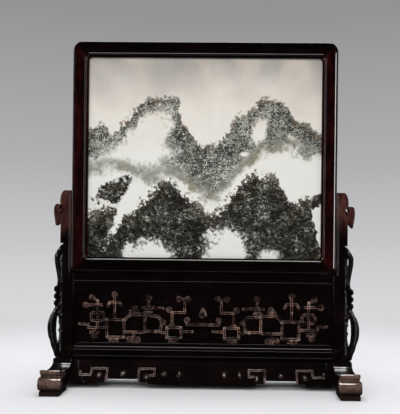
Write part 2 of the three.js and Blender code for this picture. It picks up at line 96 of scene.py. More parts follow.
def cleaned(obj):
    # doubles merged and every face turned outwards
    gap = 0.004 * mm
    editWhole(obj)
    bpy.ops.mesh.remove_doubles(threshold=gap)
    bpy.ops.mesh.dissolve_degenerate(threshold=gap / 2)
    bpy.ops.mesh.normals_make_consistent(inside=False)
    endEdit()
    return obj


def smoothed(obj, degrees=38):
    selectOnly(obj)
    bpy.ops.object.shade_smooth_by_angle(angle=math.radians(degrees))
    return obj


def joined(name, *objects):
    selectOnly(*objects)
    if len(objects) > 1:
        bpy.ops.object.join()
    return named(bpy.context.view_layer.objects.active, name)


def settled(obj):
    # the object's place goes into its mesh
    selectOnly(obj)
    bpy.ops.object.transform_apply(location=True, rotation=True, scale=True)
    return obj


def arc(cx, cz, radius, start, end, steps):
    # points on a round stretch, angles in degrees, both ends included
    turns = [math.radians(start + (end - start) * i / steps) for i in range(steps + 1)]
    return [(cx + radius * math.cos(t), cz + radius * math.sin(t)) for t in turns]


def ring(cx, cz, radiusX, radiusZ, steps):
    turns = [2 * math.pi * i / steps for i in range(steps)]
    return [(cx + radiusX * math.cos(t), cz + radiusZ * math.sin(t)) for t in turns]


def bend(start, pull, end, steps=8):
    # a quadratic curve from start to end, the start left out
    points = []
    for i in range(1, steps + 1):
        t = i / steps
        a, b, c = (1 - t) ** 2, 2 * t * (1 - t), t * t
        points.append(tuple(a * s + b * p + c * e for s, p, e in zip(start, pull, end)))
    return points


def smoothLine(points, steps):
    # a smooth curve through the points
    line = []
    padded = [points[0], *points, points[-1]]
    for i in range(len(points) - 1):
        p0, p1, p2, p3 = (Vector(p) for p in padded[i:i + 4])
        for step in range(steps):
            t = step / steps
            line.append(tuple(0.5 * (2 * p1 + (p2 - p0) * t + (2 * p0 - 5 * p1 + 4 * p2 - p3) * t * t
                                     + (3 * p1 - p0 - 3 * p2 + p3) * t ** 3)))
    line.append(tuple(points[-1]))
    return line


# Flat curves, given depth or swept, then stood up and made a mesh

toXZ = Matrix(((1, 0, 0, 0), (0, 0, -1, 0), (0, 1, 0, 0), (0, 0, 0, 1)))
toYZ = Matrix(((0, 0, 1, 0), (1, 0, 0, 0), (0, 1, 0, 0), (0, 0, 0, 1)))


def flatCurve(name, lines, fill="BOTH", closed=True):
    curve = bpy.data.curves.new(name, "CURVE")
    curve.dimensions = "2D"
    curve.fill_mode = fill
    for line in lines:
        spline = curve.splines.new("POLY")
        spline.points.add(len(line) - 1)
        for point, (a, b) in zip(spline.points, line):
            point.co = (a * mm, b * mm, 0, 1)
        spline.use_cyclic_u = closed
    return linked(name, curve)


def meshed(obj, placing):
    selectOnly(obj)
    bpy.ops.object.convert(target="MESH")
    obj = bpy.context.view_layer.objects.active
    obj.data.transform(placing)
    return cleaned(obj)


def plate(name, outlines, start, end, rounding, rounds=2, stand=toXZ):
    # start and end along -Y for toXZ, along +X for toYZ
    obj = flatCurve(name, outlines)
    curve = obj.data
    curve.extrude = ((end - start) / 2 - rounding) * mm
    curve.bevel_depth = rounding * mm
    curve.bevel_resolution = rounds
    curve.offset = -rounding * mm
    return meshed(obj, stand @ Matrix.Translation((0, 0, (start + end) / 2 * mm)))


def strap(name, points, section, closed=False, y=0.0, stand=toXZ):
    # a section swept along a flat line, its outer side towards -Y, or towards +X for toYZ
    obj = flatCurve(name, [points], "NONE", closed)
    profile = flatCurve(name + "Section", [section])
    obj.data.bevel_mode = "OBJECT"
    obj.data.bevel_object = profile
    obj.data.use_fill_caps = not closed
    obj = meshed(obj, Matrix.Translation((0, y * mm, 0)) @ stand)
    bpy.data.objects.remove(profile)
    return obj


def lofted(name, rings, closed):
    # each ring of points is bridged to the next one, and the last to the first where closed
    count = len(rings[0])
    faces = []
    for i in range(len(rings) if closed else len(rings) - 1):
        j = (i + 1) % len(rings)
        for k in range(count):
            m = (k + 1) % count
            faces.append((i * count + k, i * count + m, j * count + m, j * count + k))
    mesh = bpy.data.meshes.new(name)
    mesh.from_pydata([point for line in rings for point in line], [], faces)
    return linked(name, mesh)


def cutOut(obj, cutter):
    modifier = obj.modifiers.new("cut", "BOOLEAN")
    modifier.operation = "DIFFERENCE"
    modifier.solver = "EXACT"
    modifier.object = cutter
    selectOnly(obj)
    bpy.ops.object.modifier_apply(modifier=modifier.name)
    bpy.data.objects.remove(cutter)


def painted(obj, material):
    obj.data.materials.clear()
    obj.data.materials.append(material)
    return obj


def finishPiece(obj, slotName, material, *nodes):
    if material:
        painted(obj, material)
    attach(obj, "root")
    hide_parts(*nodes)


def finishPair(right, name, slotName, material):
    # the left piece mirrors the right one
    left = mirrored(right, name + "_left")
    finishPiece(right, slotName, material, "right_" + name)
    finishPiece(left, slotName, material, "left_" + name)


# Shader maths: a socket that takes the usual operators

class Graph:
    def __init__(self, name):
        self.material = bpy.data.materials.new(name)
        self.material.use_nodes = True
        self.nodes = self.material.node_tree.nodes
        self.links = self.material.node_tree.links
        self.shader = self.nodes["Principled BSDF"]

    def node(self, kind, settings=None, **sockets):
        made = self.nodes.new(kind)
        for key, value in (settings or {}).items():
            if key == "stops":
                fillRamp(made.color_ramp, value)
            elif key == "curve":
                fillCurve(made.mapping, value)
            else:
                setattr(made, key, value)
        return self.plug(made, sockets)

    def plug(self, made, sockets):
        # n0, n1 and so on stand for a socket's number, any other key for its name
        for key, value in sockets.items():
            socket = made.inputs[int(key[1:]) if key[1:].isdigit() else key.replace("_", " ")]
            if isinstance(value, Wire):
                self.links.new(value.socket, socket)
            elif value is not None:
                socket.default_value = value
        return made

    def shade(self, **sockets):
        self.plug(self.shader, sockets)

    def wire(self, made, output=0):
        return Wire(self, made.outputs[output])

    def math(self, operation, a, b=None):
        return self.wire(self.node("ShaderNodeMath", {"operation": operation}, n0=a, n1=b))

    def mix(self, factor, a, b, blend="MIX"):
        settings = {"data_type": "RGBA", "blend_type": blend}
        return self.wire(self.node("ShaderNodeMix", settings, n0=factor, n6=a, n7=b), 2)

    def noise(self, vector, scale, detail, roughness, distortion=0.0):
        made = self.node("ShaderNodeTexNoise", None, Vector=vector, Scale=scale, Detail=detail,
                         Roughness=roughness, Distortion=distortion)
        return self.wire(made)

    def scaled(self, vector, scale=(1, 1, 1), location=(0, 0, 0), rotation=(0, 0, 0)):
        return self.wire(self.node("ShaderNodeMapping", None, Vector=vector, Location=location,
                                   Rotation=rotation, Scale=scale))

    def ramp(self, value, stops):
        return self.wire(self.node("ShaderNodeValToRGB", {"stops": stops}, Fac=value))

    def smooth(self, value, low, high):
        # 0 below low, 1 above high, or the other way round where low is the larger
        made = self.node("ShaderNodeMapRange", {"interpolation_type": "SMOOTHSTEP"}, Value=value,
                         From_Min=min(low, high), From_Max=max(low, high),
                         To_Min=0.0 if low < high else 1.0, To_Max=1.0 if low < high else 0.0)
        return self.wire(made)

    def curve(self, value, points):
        return self.wire(self.node("ShaderNodeFloatCurve", {"curve": points}, Value=value))


def fillRamp(ramp, stops):
    while len(ramp.elements) < len(stops):
        ramp.elements.new(0.5)
    for element, (place, tint) in zip(ramp.elements, stops):
        element.position = place
        element.color = (*tint, 1)


def fillCurve(mapping, points):
    line = mapping.curves[0].points
    while len(line) < len(points):
        line.new(0.5, 0.5)
    for point, (x, y) in zip(line, points):
        point.location = (x, y)
        point.handle_type = "AUTO_CLAMPED"
    mapping.update()


class Wire:
    def __init__(self, graph, socket):
        self.graph = graph
        self.socket = socket

    def __add__(self, other):
        return self.graph.math("ADD", self, other)

    __radd__ = __add__

    def __mul__(self, other):
        return self.graph.math("MULTIPLY", self, other)

    __rmul__ = __mul__

    def __sub__(self, other):
        return self.graph.math("SUBTRACT", self, other)

    def __rsub__(self, other):
        return self.graph.math("SUBTRACT", other, self)

    def __truediv__(self, other):
        return self.graph.math("DIVIDE", self, other)

    def __rtruediv__(self, other):
        return self.graph.math("DIVIDE", other, self)

    def __pow__(self, other):
        return self.graph.math("POWER", self, other)

    def __rpow__(self, other):
        return self.graph.math("POWER", other, self)

    def __or__(self, other):
        return self.graph.math("MAXIMUM", self, other)

    __ror__ = __or__


def colour(red, green, blue):
    # a colour as a picture editor gives it, 0 to 255, made linear
    def linear(v):
        v /= 255
        return v / 12.92 if v <= 0.04045 else ((v + 0.055) / 1.055) ** 2.4
    return (linear(red), linear(green), linear(blue))


def shades(*tints):
    return [colour(*tint) for tint in tints]


# Camera, level and a little right of the middle, the screen turned and leaning a hair

view = {
    "focal": 630.0,  # in pixels of a picture 414 high
    "height": 414.0,
    "distance": 1112.0,
    "sideways": 40.6,
    "above": 247.0,
    "shiftX": -25.3,
    "shiftY": 38.0,
    "turn": -0.87,  # degrees, how the screen stands to the camera
    "lean": 0.64,
    "clip": (0.05, 30),  # metres
}


def makeCamera():
    data = bpy.data.cameras.new("camera")
    data.lens = view["focal"] / view["height"] * data.sensor_width
    data.shift_x = view["shiftX"] / view["height"]
    data.shift_y = view["shiftY"] / view["height"]
    data.clip_start, data.clip_end = view["clip"]
    camera = linked("camera", data)
    lean = Matrix.Rotation(math.radians(view["lean"]), 4, "Y")
    turn = Matrix.Rotation(math.radians(view["turn"]), 4, "Z")
    place = Vector((view["sideways"], -view["distance"], view["above"])) * mm
    level = Matrix.Rotation(math.radians(90), 4, "X")
    camera.matrix_world = (lean @ turn).inverted() @ Matrix.Translation(place) @ level
    bpy.context.scene.camera = camera


makeCamera()
print("camera set")


# Woods

def makeWood(name, look):
    g = Graph(name)
    spot = g.wire(g.node("ShaderNodeTexCoord"), "Object")
    along = g.scaled(spot, scale=look["grainScale"])
    streak = g.noise(along, look["streaks"], 5, 0.6)
    fine = g.noise(along, look["streaks"] * look["fineRatio"], 3, 0.5)
    cloud = g.noise(spot, look["clouds"], 3, 0.5)
    tone = streak * 0.6 + cloud * 0.4
    base = g.ramp(tone, list(zip(look["polishStops"], look["polish"])))
    if look["wearAndPaintedLight"]:
        # paler and browner along the reach: wear from hands and dusting on the polish, and on raised
        # carving and the ends of the feet also painted highlight and painted light
        weights, offset, low, high = look["wearAndPaintedLight"]
        dot = g.node("ShaderNodeVectorMath", {"operation": "DOT_PRODUCT"}, n0=spot, n1=weights)
        reach = g.math("ABSOLUTE", g.wire(dot, 1) + offset) + (cloud - 0.5) * (high - low)
        wearAndLightMask = g.smooth(reach, low, high) * g.smooth(streak, 0.1, 0.45)
        base = g.mix(wearAndLightMask, base, g.ramp(tone, list(zip(look["wornAndLitStops"], look["wornAndLit"]))))
    # painted shade: darker towards the floor, below the given heights
    if look["paintedShade"]:
        up = g.wire(g.node("ShaderNodeSeparateXYZ", None, Vector=spot), "Z")
        clear = g.smooth(up + (cloud - 0.5) * look["paintedShadeWobble"], *look["paintedShade"])
        base = g.mix(clear, (*look["paintedShadeTint"], 1), base)
    pores = g.smooth(fine, *look["poreStops"]) * look["poreShare"]
    base = g.mix(pores, base, (*look["pore"], 1))
    bump = g.node("ShaderNodeBump", None, Strength=look["bump"], Distance=look["bumpDepth"], Height=fine)
    g.shade(Base_Color=base, Roughness=streak * 0.12 + (cloud * 0.08 + look["rough"]), Normal=g.wire(bump),
            Coat_Weight=look["coat"], Coat_Roughness=look["coatRough"], Coat_IOR=look["coatIor"],
            Specular_IOR_Level=look["specular"])
    return g.material


alongX = (1.0, 9.0, 9.0)
alongY = (9.0, 1.0, 9.0)
alongZ = (9.0, 9.0, 1.0)

darkLook = {
    "grainScale": alongX,
    "streaks": 22.0,
    "fineRatio": 4.5,  # pores to streaks
    "clouds": 26.0,
    "polish": shades((4, 2, 2), (10, 4, 4), (20, 8, 8)),
    "polishStops": (0.34, 0.5, 0.66),
    "wornAndLit": shades((30, 17, 15), (50, 29, 25), (74, 46, 38)),
    "wornAndLitStops": (0.36, 0.5, 0.64),
    "wearAndPaintedLight": None,  # direction, offset, then the reach along it from all polish to all wear and painted light, in metres
    "pore": colour(3, 2, 2),
    "poreStops": (0.54, 0.64),
    "poreShare": 0.4,
    "rough": 0.26,
    "coat": 0.8,
    "coatRough": 0.06,
    "coatIor": 1.7,
    "specular": 0.04,
    "bump": 0.1,
    "bumpDepth": 0.0004,
    "paintedShade": None,  # metres above the table, from all painted shade to none
    "paintedShadeTint": colour(38, 26, 22),
    "paintedShadeWobble": 0.004,
}
redLook = dict(darkLook, polish=shades((3, 1, 1), (7, 2, 2), (17, 5, 5)))
stileLook = dict(darkLook, grainScale=alongZ, polish=shades((6, 1, 1), (20, 3, 3), (48, 8, 8)))
railLook = dict(darkLook, coat=0.3, coatRough=0.16)
# the raised tops of the carving are paler and browner: partly wear, partly a painted highlight on the
# ridges
carvedLook = dict(
    darkLook, grainScale=(1.0, 1.0, 1.0), streaks=95.0, coat=1.0, coatRough=0.1, coatIor=2.0,
    polish=shades((6, 4, 3), (13, 8, 7), (26, 16, 14)), wearAndPaintedLight=((0, 1, 0), 0, 0.0080, 0.0090),
    wornAndLit=shades((38, 24, 21), (76, 53, 46), (170, 138, 124)))
ropeLook = dict(darkLook, grainScale=alongZ, coat=1.0, coatRough=0.1, coatIor=2.3)
headLook = dict(darkLook, grainScale=alongZ, wearAndPaintedLight=((0, 0, 1), 0, 0.258, 0.296),
                wornAndLit=shades((30, 13, 12), (56, 30, 27), (84, 50, 44)))
# the scrolled ends are paler and browner than the middle of the foot: partly wear, partly painted light for
# the lit ends; the pad darkens near the floor with painted shade
footLook = dict(
    darkLook, grainScale=alongY, coat=1.0, coatRough=0.13, coatIor=2.2, paintedShade=(0.009, 0.021),
    wearAndPaintedLight=((0, 1, 0), 0, 0.078, 0.098), wornAndLit=shades((72, 54, 47), (94, 74, 65), (114, 92, 83)))

darkWood = makeWood("darkWood", darkLook)
ropeWood = makeWood("ropeWood", ropeLook)
railWood = makeWood("railWood", railLook)
redWood = makeWood("redWood", redLook)
redWoodUp = makeWood("redWoodUpright", stileLook)
carvedWood = makeWood("carvedWood", carvedLook)
headWood = makeWood("headWood", headLook)
footWood = makeWood("footWood", footLook)
print("woods made")


# Frame of the stone: each line of the moulding is a rounded rectangle, and the lines are lofted

frameSizes = {
    "outerBead": 4.5,
    "face": 15.5,
    "innerBead": 3.5,
    "lip": 3.5,
    "beadProud": 1.6,
    "lipSetBack": 4.5,
    "topRadius": 17.0,
    "bottomRadius": 9.0,
    "innerRadius": 6.0,
    "seatDeep": 6.3,
    "seatHalf": 7.3,
    "mitreGap": 0.3,
    "cornerSteps": 10,
    "beadTurn": 38.0,  # degrees at which a bead meets the face
    "outerQuirk": 0.5,
    "innerQuirk": 0.4,
    "lipStep": 0.6,
    "lipEase": 0.8,
    "lipRound": 0.2,
}

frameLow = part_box("frame_left_stile")[0] / mm
frameLow.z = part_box("frame_bottom_rail")[0].z / mm
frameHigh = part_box("frame_top_rail")[1] / mm
frameBack = frameHigh.y


def mouldingLine():
    # (inset, y) round the whole section of one member, front first
    s = frameSizes
    member = s["outerBead"] + s["face"] + s["innerBead"] + s["lip"]
    bead = frameBack
    flat = bead - s["beadProud"]
    r1, r2 = s["outerBead"] / 2, s["innerBead"] / 2
    beadTwo = s["outerBead"] + s["face"] + r2
    lipFace = bead - s["lipSetBack"]
    front = arc(r1, bead - r1, r1, 180, s["beadTurn"], steps=9)
    front += [(s["outerBead"] + s["outerQuirk"], flat), (beadTwo - r2 - s["innerQuirk"], flat)]
    front += arc(beadTwo, bead - r2, r2, 180 - s["beadTurn"], 0, steps=8)
    front += [(beadTwo + r2, lipFace + s["lipStep"]), (beadTwo + r2 + s["lipStep"], lipFace)]
    front += [(member - s["lipEase"], lipFace), (member - s["lipRound"], lipFace - s["lipRound"]),
              (member, lipFace - s["lipEase"])]
    front += [(member, s["seatHalf"]), (member - s["seatDeep"], s["seatHalf"])]
    section = [(inset, -y) for inset, y in front]
    section += [(inset, y) for inset, y in reversed(front)]
    return section, member


def roundedRectangle(inset, member):
    s = frameSizes
    share = inset / member
    high = s["topRadius"] + (s["innerRadius"] - s["topRadius"]) * share
    low = s["bottomRadius"] + (s["innerRadius"] - s["bottomRadius"]) * share
    left, right = frameLow.x + inset, -frameLow.x - inset
    bottom, top = frameLow.z + inset, frameHigh.z - inset
    n = s["cornerSteps"]
    line = arc(right - high, top - high, high, 0, 90, n)
    line += arc(left + high, top - high, high, 90, 180, n)
    line += arc(left + low, bottom + low, low, 180, 270, n)
    line += arc(right - low, bottom + low, low, 270, 360, n)
    return line


def frameMember(name, whole, cuts, material, node):
    obj = twin(whole)
    for point, normal in cuts:
        # what lies against the normal stays, and the cut is closed
        editWhole(obj)
        bpy.ops.mesh.bisect(plane_co=point, plane_no=normal, use_fill=True, clear_outer=True)
        endEdit()
    finishPiece(named(smoothed(cleaned(obj), degrees=30), name), "red_wood", material, node)


def makeFrame():
    section, member = mouldingLine()
    rings = [[(x * mm, y * mm, z * mm) for x, z in roundedRectangle(inset, member)] for inset, y in section]
    whole = cleaned(lofted("frameRing", rings, closed=True))
    gap = frameSizes["mitreGap"] / 2 * mm
    middle = Vector((0, 0, (frameLow.z + frameHigh.z) / 2 * mm))

    def mitre(side, level, across):
        # runs from the corner inwards at 45 degrees: across is 1 for a rail and -1 for a stile
        corner = Vector((side * -frameLow.x, 0, frameLow.z if level < 0 else frameHigh.z)) * mm
        normal = Vector((side, 0, -level)).normalized() * across
        return corner - normal * gap, normal

    for level, place in ((-1, "bottom"), (1, "top")):
        cuts = [mitre(-1, level, 1), mitre(1, level, 1), (middle, Vector((0, 0, -level)))]
        frameMember("frame_rail_" + place, whole, cuts, redWood, f"frame_{place}_rail")
    for side, place in ((-1, "left"), (1, "right")):
        cuts = [mitre(side, -1, -1), mitre(side, 1, -1), (middle, Vector((-side, 0, 0)))]
        frameMember("frame_stile_" + place, whole, cuts, redWoodUp, f"frame_{place}_stile")
    bpy.data.objects.remove(whole)


makeFrame()
print("frame made")


# Posts

postSizes = {
    "headRadius": 8.0,
    "headBulge": 1.2,
    "headBulgeDrop": 19.8,
    "shaftWidth": 18.5,
    "tongueReach": 5.0,
    "tongueHalf": 4.0,
    "tongueBelowTop": 6.0,
    "beadRadius": 1.4,
    "beadInset": 2.5,
    "hookReach": 13.2,
    "hookHalf": 11.0,
    "hookTop": 23.5,
    "hookBulge": 35.0,
    "hookBelly": 44.0,
    "hookTip": 61.5,
    "hookTipReach": 9.6,
    "hookRoot": 53.0,
    "hookRootStep": 2.5,
    "neckDrop": 27.0,
    "neckInset": 2.8,
    "mouthReach": 1.5,
    "eyeRadius": 3.7,
    "eyeDrop": 29.9,
    "eyeInset": 0.5,
    "slotLength": 8.4,
    "slotRadius": 1.2,
    "slotDrop": 36.8,
    "slotLean": 30.0,
    "neckEase": 1.0,
    "rounding": 1.1,
    "hookRounding": 1.6,
    "tongueRounding": 0.5,
}

postLow, postHigh = (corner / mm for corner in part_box("right_post"))
spandrelLow, spandrelHigh = (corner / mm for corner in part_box("right_spandrel"))
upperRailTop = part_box("stand_upper_rail")[1].z / mm
pieceGap = 0.3


def makePost():
    s = postSizes
    inner = postLow.x
    headInner = inner + s["tongueReach"]
    outer = postHigh.x - s["hookReach"]
    top = postHigh.z
    shaft = inner + s["shaftWidth"]
    shoulder = spandrelHigh.z + pieceGap
    outline = [(inner, postLow.z), (shaft, postLow.z), (shaft, shoulder), (outer, shoulder)]
    outline += [(outer, top - s["neckDrop"] - s["neckEase"]), (outer - s["neckInset"], top - s["neckDrop"])]
    bulge = (outer + s["headBulge"], top - s["headBulgeDrop"])
    outline += bend(outline[-1], (bulge[0], top - s["hookTop"]), bulge)
    outline += bend(bulge, (outer, top), (outer - s["headRadius"], top))
    outline += [(headInner, top), (headInner, upperRailTop), (inner, upperRailTop)]
    eye = ring(outer - s["eyeInset"], top - s["eyeDrop"], s["eyeRadius"], s["eyeRadius"], steps=16)
    half = s["slotLength"] / 2
    slot = arc(0, half, s["slotRadius"], 0, 180, steps=6)
    slot += arc(0, -half, s["slotRadius"], 180, 360, steps=6)
    lean = math.radians(s["slotLean"])
    slotX, slotZ = outer - s["neckInset"], top - s["slotDrop"]
    slot = [(slotX + x * math.cos(lean) - z * math.sin(lean),
             slotZ + x * math.sin(lean) + z * math.cos(lean)) for x, z in slot]
    half = postHigh.y
    body = plate("post", [outline], -half, half, s["rounding"])
    root = outer - s["neckInset"] - overlap
    hook = [(root, top - s["hookRoot"]), (outer + s["hookRootStep"], top - s["hookRoot"])]
    hook += [(outer + s["hookTipReach"], top - s["hookTip"])]
    far, crown = outer + s["hookReach"], top - s["hookTop"]
    hook += bend(hook[-1], (far, top - s["hookBelly"]), (far, top - s["hookBulge"]))
    hook += bend(hook[-1], (far, crown), (outer + s["hookReach"] / 2, crown))
    hook += [(outer + s["mouthReach"], crown), (outer - s["neckInset"], top - s["neckDrop"])]
    hook += [(root, top - s["neckDrop"] - s["neckEase"])]
    claw = plate("hook", [hook], -s["hookHalf"], s["hookHalf"], s["hookRounding"], 3)
    for hole in (eye, slot):
        for part in (body, claw):
            cutOut(part, plate("hole", [hole], -half - overlap, half + overlap, 0))
    tongueTop = top - s["tongueBelowTop"]
    low, reach = upperRailTop - overlap, headInner + overlap
    tongueBox = [(inner, low), (reach, low), (reach, tongueTop), (inner, tongueTop)]
    tongue = plate("tongue", [tongueBox], -s["tongueHalf"], s["tongueHalf"], s["tongueRounding"], 1)
    beads = []
    for face in (-half, half):
        middle = Vector((headInner + s["beadInset"], face, (tongueTop + upperRailTop) / 2)) * mm
        bpy.ops.mesh.primitive_cylinder_add(vertices=20, radius=s["beadRadius"] * mm, location=middle,
                                            depth=(tongueTop - upperRailTop) * mm)
        beads.append(settled(bpy.context.object))
    return joined("post_right", body, claw, tongue, *beads)


finishPair(smoothed(makePost()), "post", "red_wood", headWood)
print("posts made")


# Feet

footSizes = {
    "length": 206.0,
    "blockMargin": 6.0,
    "blockStep": 7.0,
    "padLength": 49.0,
    "padHeight": 8.0,
    "rollRadius": 10.6,
    "rollProud": 2.3,
    "neckRadius": 3.0,
    "lipRadius": 3.6,
    "lipRise": 1.9,
    "lipSetBack": 5.5,
    "padSetBack": 2.0,
    "saddle": 34.0,
    "height": 47.0,
    "rounding": 1.0,
    "padGap": 0.6,
    "rollTurn": (-76.0, 60.0),  # degrees over which the roll shows between pad and neck
    "neckTurn": -70.0,
    "saddlePull": 0.6,
    "blockPull": 0.2,
    "bossRounding": 1.2,
    "coilReach": 8.6,
    "coilClosing": 6.2,
    "coilTurn": 640,  # degrees
    "coilSunk": 0.7,
    "coilSection": [(-0.9, -0.6), (-0.7, 0.3), (0, 0.6), (0.7, 0.3), (0.9, -0.6)],
}

footLow, footHigh = (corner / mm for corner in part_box("right_foot"))


def footHalfLine():
    # from under the middle of the foot round the scrolled end to the top of the block
    s = footSizes
    end = s["length"] / 2
    rollY, rollZ = end - s["rollRadius"], s["padHeight"] + s["rollRadius"]
    padInner, padOuter = end - s["padLength"], end - s["padSetBack"]
    blockEnd = postHigh.y + s["blockMargin"]
    lipEnd = end - s["lipSetBack"]
    lipY, neckY = lipEnd - s["lipRadius"], lipEnd - s["neckRadius"]
    neckZ = rollZ + s["rollRadius"] + s["neckRadius"]
    lipZ = neckZ + s["lipRise"] + s["lipRadius"]
    line = [(padInner, s["padHeight"]), (padInner, 0), (padOuter, 0)]
    line += [(padOuter, s["padHeight"] - s["padGap"])]
    line += arc(rollY, rollZ, s["rollRadius"], *s["rollTurn"], steps=18)
    line += arc(neckY, neckZ, s["neckRadius"], s["neckTurn"], -180, steps=6)[1:]
    line += [(neckY, lipZ - s["lipRadius"])]
    line += arc(lipY, lipZ, s["lipRadius"], s["neckTurn"], 90, steps=10)
    middle = (lipY + blockEnd) / 2
    saddle = (middle, s["saddle"])
    pull = (lipY + s["saddlePull"] * (middle - lipY), s["saddle"])
    line += bend(line[-1], pull, saddle, steps=10)
    pull = (blockEnd + s["blockPull"] * (middle - blockEnd), s["saddle"])
    line += bend(saddle, pull, (blockEnd + s["padSetBack"], s["height"] - s["blockStep"]), steps=10)
    line += [(blockEnd, s["height"])]
    return line


def makeFoot():
    s = footSizes
    half = footHalfLine()
    section = half + [(-y, z) for y, z in reversed(half)]
    x0, x1 = footLow.x + s["rollProud"], footHigh.x - s["rollProud"]
    body = plate("foot", [section], x0, x1, s["rounding"], 2, toYZ)
    parts = [body]
    rollY, rollZ = s["length"] / 2 - s["rollRadius"], s["padHeight"] + s["rollRadius"]
    for side in (-1, 1):
        boss = ring(side * rollY, rollZ, s["rollRadius"], s["rollRadius"], steps=48)
        parts.append(plate("boss", [boss], footLow.x, footHigh.x, s["bossRounding"], 3, toYZ))
        turns = [math.radians(a) for a in range(0, s["coilTurn"], 20)]
        reaches = [s["coilReach"] - s["coilClosing"] * t / turns[-1] for t in turns]
        coil = [(side * (rollY + r * math.cos(t)), rollZ + r * math.sin(t)) for r, t in zip(reaches, turns)]
        for face, edge in ((-1, footLow.x), (1, footHigh.x)):
            scroll = strap("scroll", coil, s["coilSection"], stand=toYZ)
            scroll.data.transform(Matrix.Scale(face, 4, (1, 0, 0)))
            scroll.data.transform(Matrix.Translation(((edge - face * s["coilSunk"]) * mm, 0, 0)))
            parts.append(cleaned(scroll))
    return joined("foot_right", *parts)


finishPair(smoothed(makeFoot()), "foot", "worn_wood", footWood)
print("feet made")


# Spandrels

def bead(x, z, longHalf, shortHalf, deepHalf, lean):
    # an egg-shaped bead of the rope carving, lean in degrees in the plane of the screen
    bpy.ops.mesh.primitive_uv_sphere_add(segments=14, ring_count=8, radius=1)
    obj = bpy.context.object
    obj.scale = (longHalf * mm, deepHalf * mm, shortHalf * mm)
    obj.rotation_euler = (0, -math.radians(lean), 0)
    obj.location = (x * mm, 0, z * mm)
    return settled(obj)


spandrelSizes = {
    "reach": 29.0,
    "half": 6.0,
    "beadRadius": 6.6,
    "beadCount": 3,
    "rounding": 1.6,
    # places are shares of the reach and of the height
    "edge": [(0.1, 1), (0.31, 0.965), (0.52, 0.925), (0.61, 0.885), (0.58, 0.82), (0.48, 0.74),
             (0.42, 0.675), (0.46, 0.62), (0.5, 0.45), (0.82, 0.37), (0.97, 0.305), (1, 0.245),
             (0.95, 0.185), (0.83, 0.135), (0.77, 0.095), (0.62, 0.04), (0.55, 0)],
    "hole": (0.41, 0.245, 0.135, 0.12),
    "lobes": (0.42, 0.44, 0.63),  # how far out, and how high the row starts and ends
    "lobeRounding": 2.4,
    "eyes": [(0.3, 0.86, 1.4, 8), (0.5, 0.89, 1.1, 1.4), (0.21, 0.585, 1.2, 4), (0.44, 0.475, 1.3, 1.6)],
    "ropes": [
        [(0.12, 0.985), (0.34, 0.93), (0.48, 0.87), (0.44, 0.8), (0.3, 0.72), (0.24, 0.66)],
        [(0.12, 0.9), (0.12, 0.66)],
        [(0.42, 0.44), (0.63, 0.375), (0.77, 0.3), (0.79, 0.245), (0.75, 0.18), (0.65, 0.12), (0.5, 0.06)],
        [(0.14, 0.62), (0.14, 0.4)],
        [(0.17, 0.39), (0.17, 0.06)],
    ],
    "cores": [3.0, 2.4, 4.2, 2.4, 2.6],  # half width of each rope
    "coreHalf": 7.2,
    "ropePitch": 6.2,
    "ropeLong": 5.4,
    "ropeShort": 3.0,
    "ropeHalf": 8.2,
    "ropeLean": 38.0,
    "rings": [(0.16, 0.46), (0.17, 0.385), (0.17, 0.31), (0.17, 0.235)],
    "ringRadius": 4.6,
    "ringHole": 1.7,
    "ringHalf": 7.6,
    "ringRounding": 1.3,
}


def makeSpandrel():
    s = spandrelSizes
    x0, z0 = spandrelLow.x, spandrelLow.z
    height = spandrelHigh.z - z0

    def at(reach, up):
        return (x0 + reach * s["reach"], z0 + up * height)

    edge = smoothLine([at(*p) for p in s["edge"]], steps=5)
    outline = [at(0, 0), at(0, 1), *edge]
    holeReach, holeUp, holeWide, holeHigh = s["hole"]
    hole = ring(*at(holeReach, holeUp), holeWide * s["reach"], holeHigh * height, steps=32)
    eyes = [ring(*at(reach, up), a, b, steps=14) for reach, up, a, b in s["eyes"]]
    parts = [plate("spandrel", [outline, hole, *eyes], -s["half"], s["half"], s["rounding"], 3)]
    lobeReach, lobeFrom, lobeTo = s["lobes"]
    beadX, beadLow = at(lobeReach, lobeFrom)
    radius = s["beadRadius"]
    pitch = (at(0, lobeTo)[1] - beadLow - 2 * radius) / (s["beadCount"] - 1)
    for i in range(s["beadCount"]):
        lobe = ring(beadX, beadLow + radius + i * pitch, radius, radius, steps=32)
        parts.append(plate("lobe", [lobe], -s["half"], s["half"], s["lobeRounding"], 4))
    for route, width in zip(s["ropes"], s["cores"]):
        line = smoothLine([at(*p) for p in route], steps=12)
        parts.append(strap("core", line, ring(0, 0, width, s["coreHalf"], steps=18)))
        walked = s["ropePitch"] / 2
        for (xa, za), (xb, zb) in zip(line, line[1:]):
            walked += math.dist((xa, za), (xb, zb))
            if walked >= s["ropePitch"]:
                walked -= s["ropePitch"]
                lean = math.degrees(math.atan2(zb - za, xb - xa)) + s["ropeLean"]
                parts.append(bead(xb, zb, s["ropeLong"], s["ropeShort"], s["ropeHalf"], lean))
    for spot in s["rings"]:
        rims = [ring(*at(*spot), s["ringRadius"], s["ringRadius"], steps=28),
                ring(*at(*spot), s["ringHole"], s["ringHole"], steps=14)]
        parts.append(plate("ringKnob", rims, -s["ringHalf"], s["ringHalf"], s["ringRounding"], 3))
    return joined("spandrel_right", *parts)


finishPair(smoothed(makeSpandrel()), "spandrel", "dark_wood", ropeWood)
print("spandrels made")


# Rails

railSizes = {
    "half": 13.0,
    "bead": 2.4,
    "upper": [2.4, 15.4],  # how far the beads lie below the rail's top
    "lower": [7.0, 17.6],
    "ease": 0.7,
    "rounding": 0.25,
}


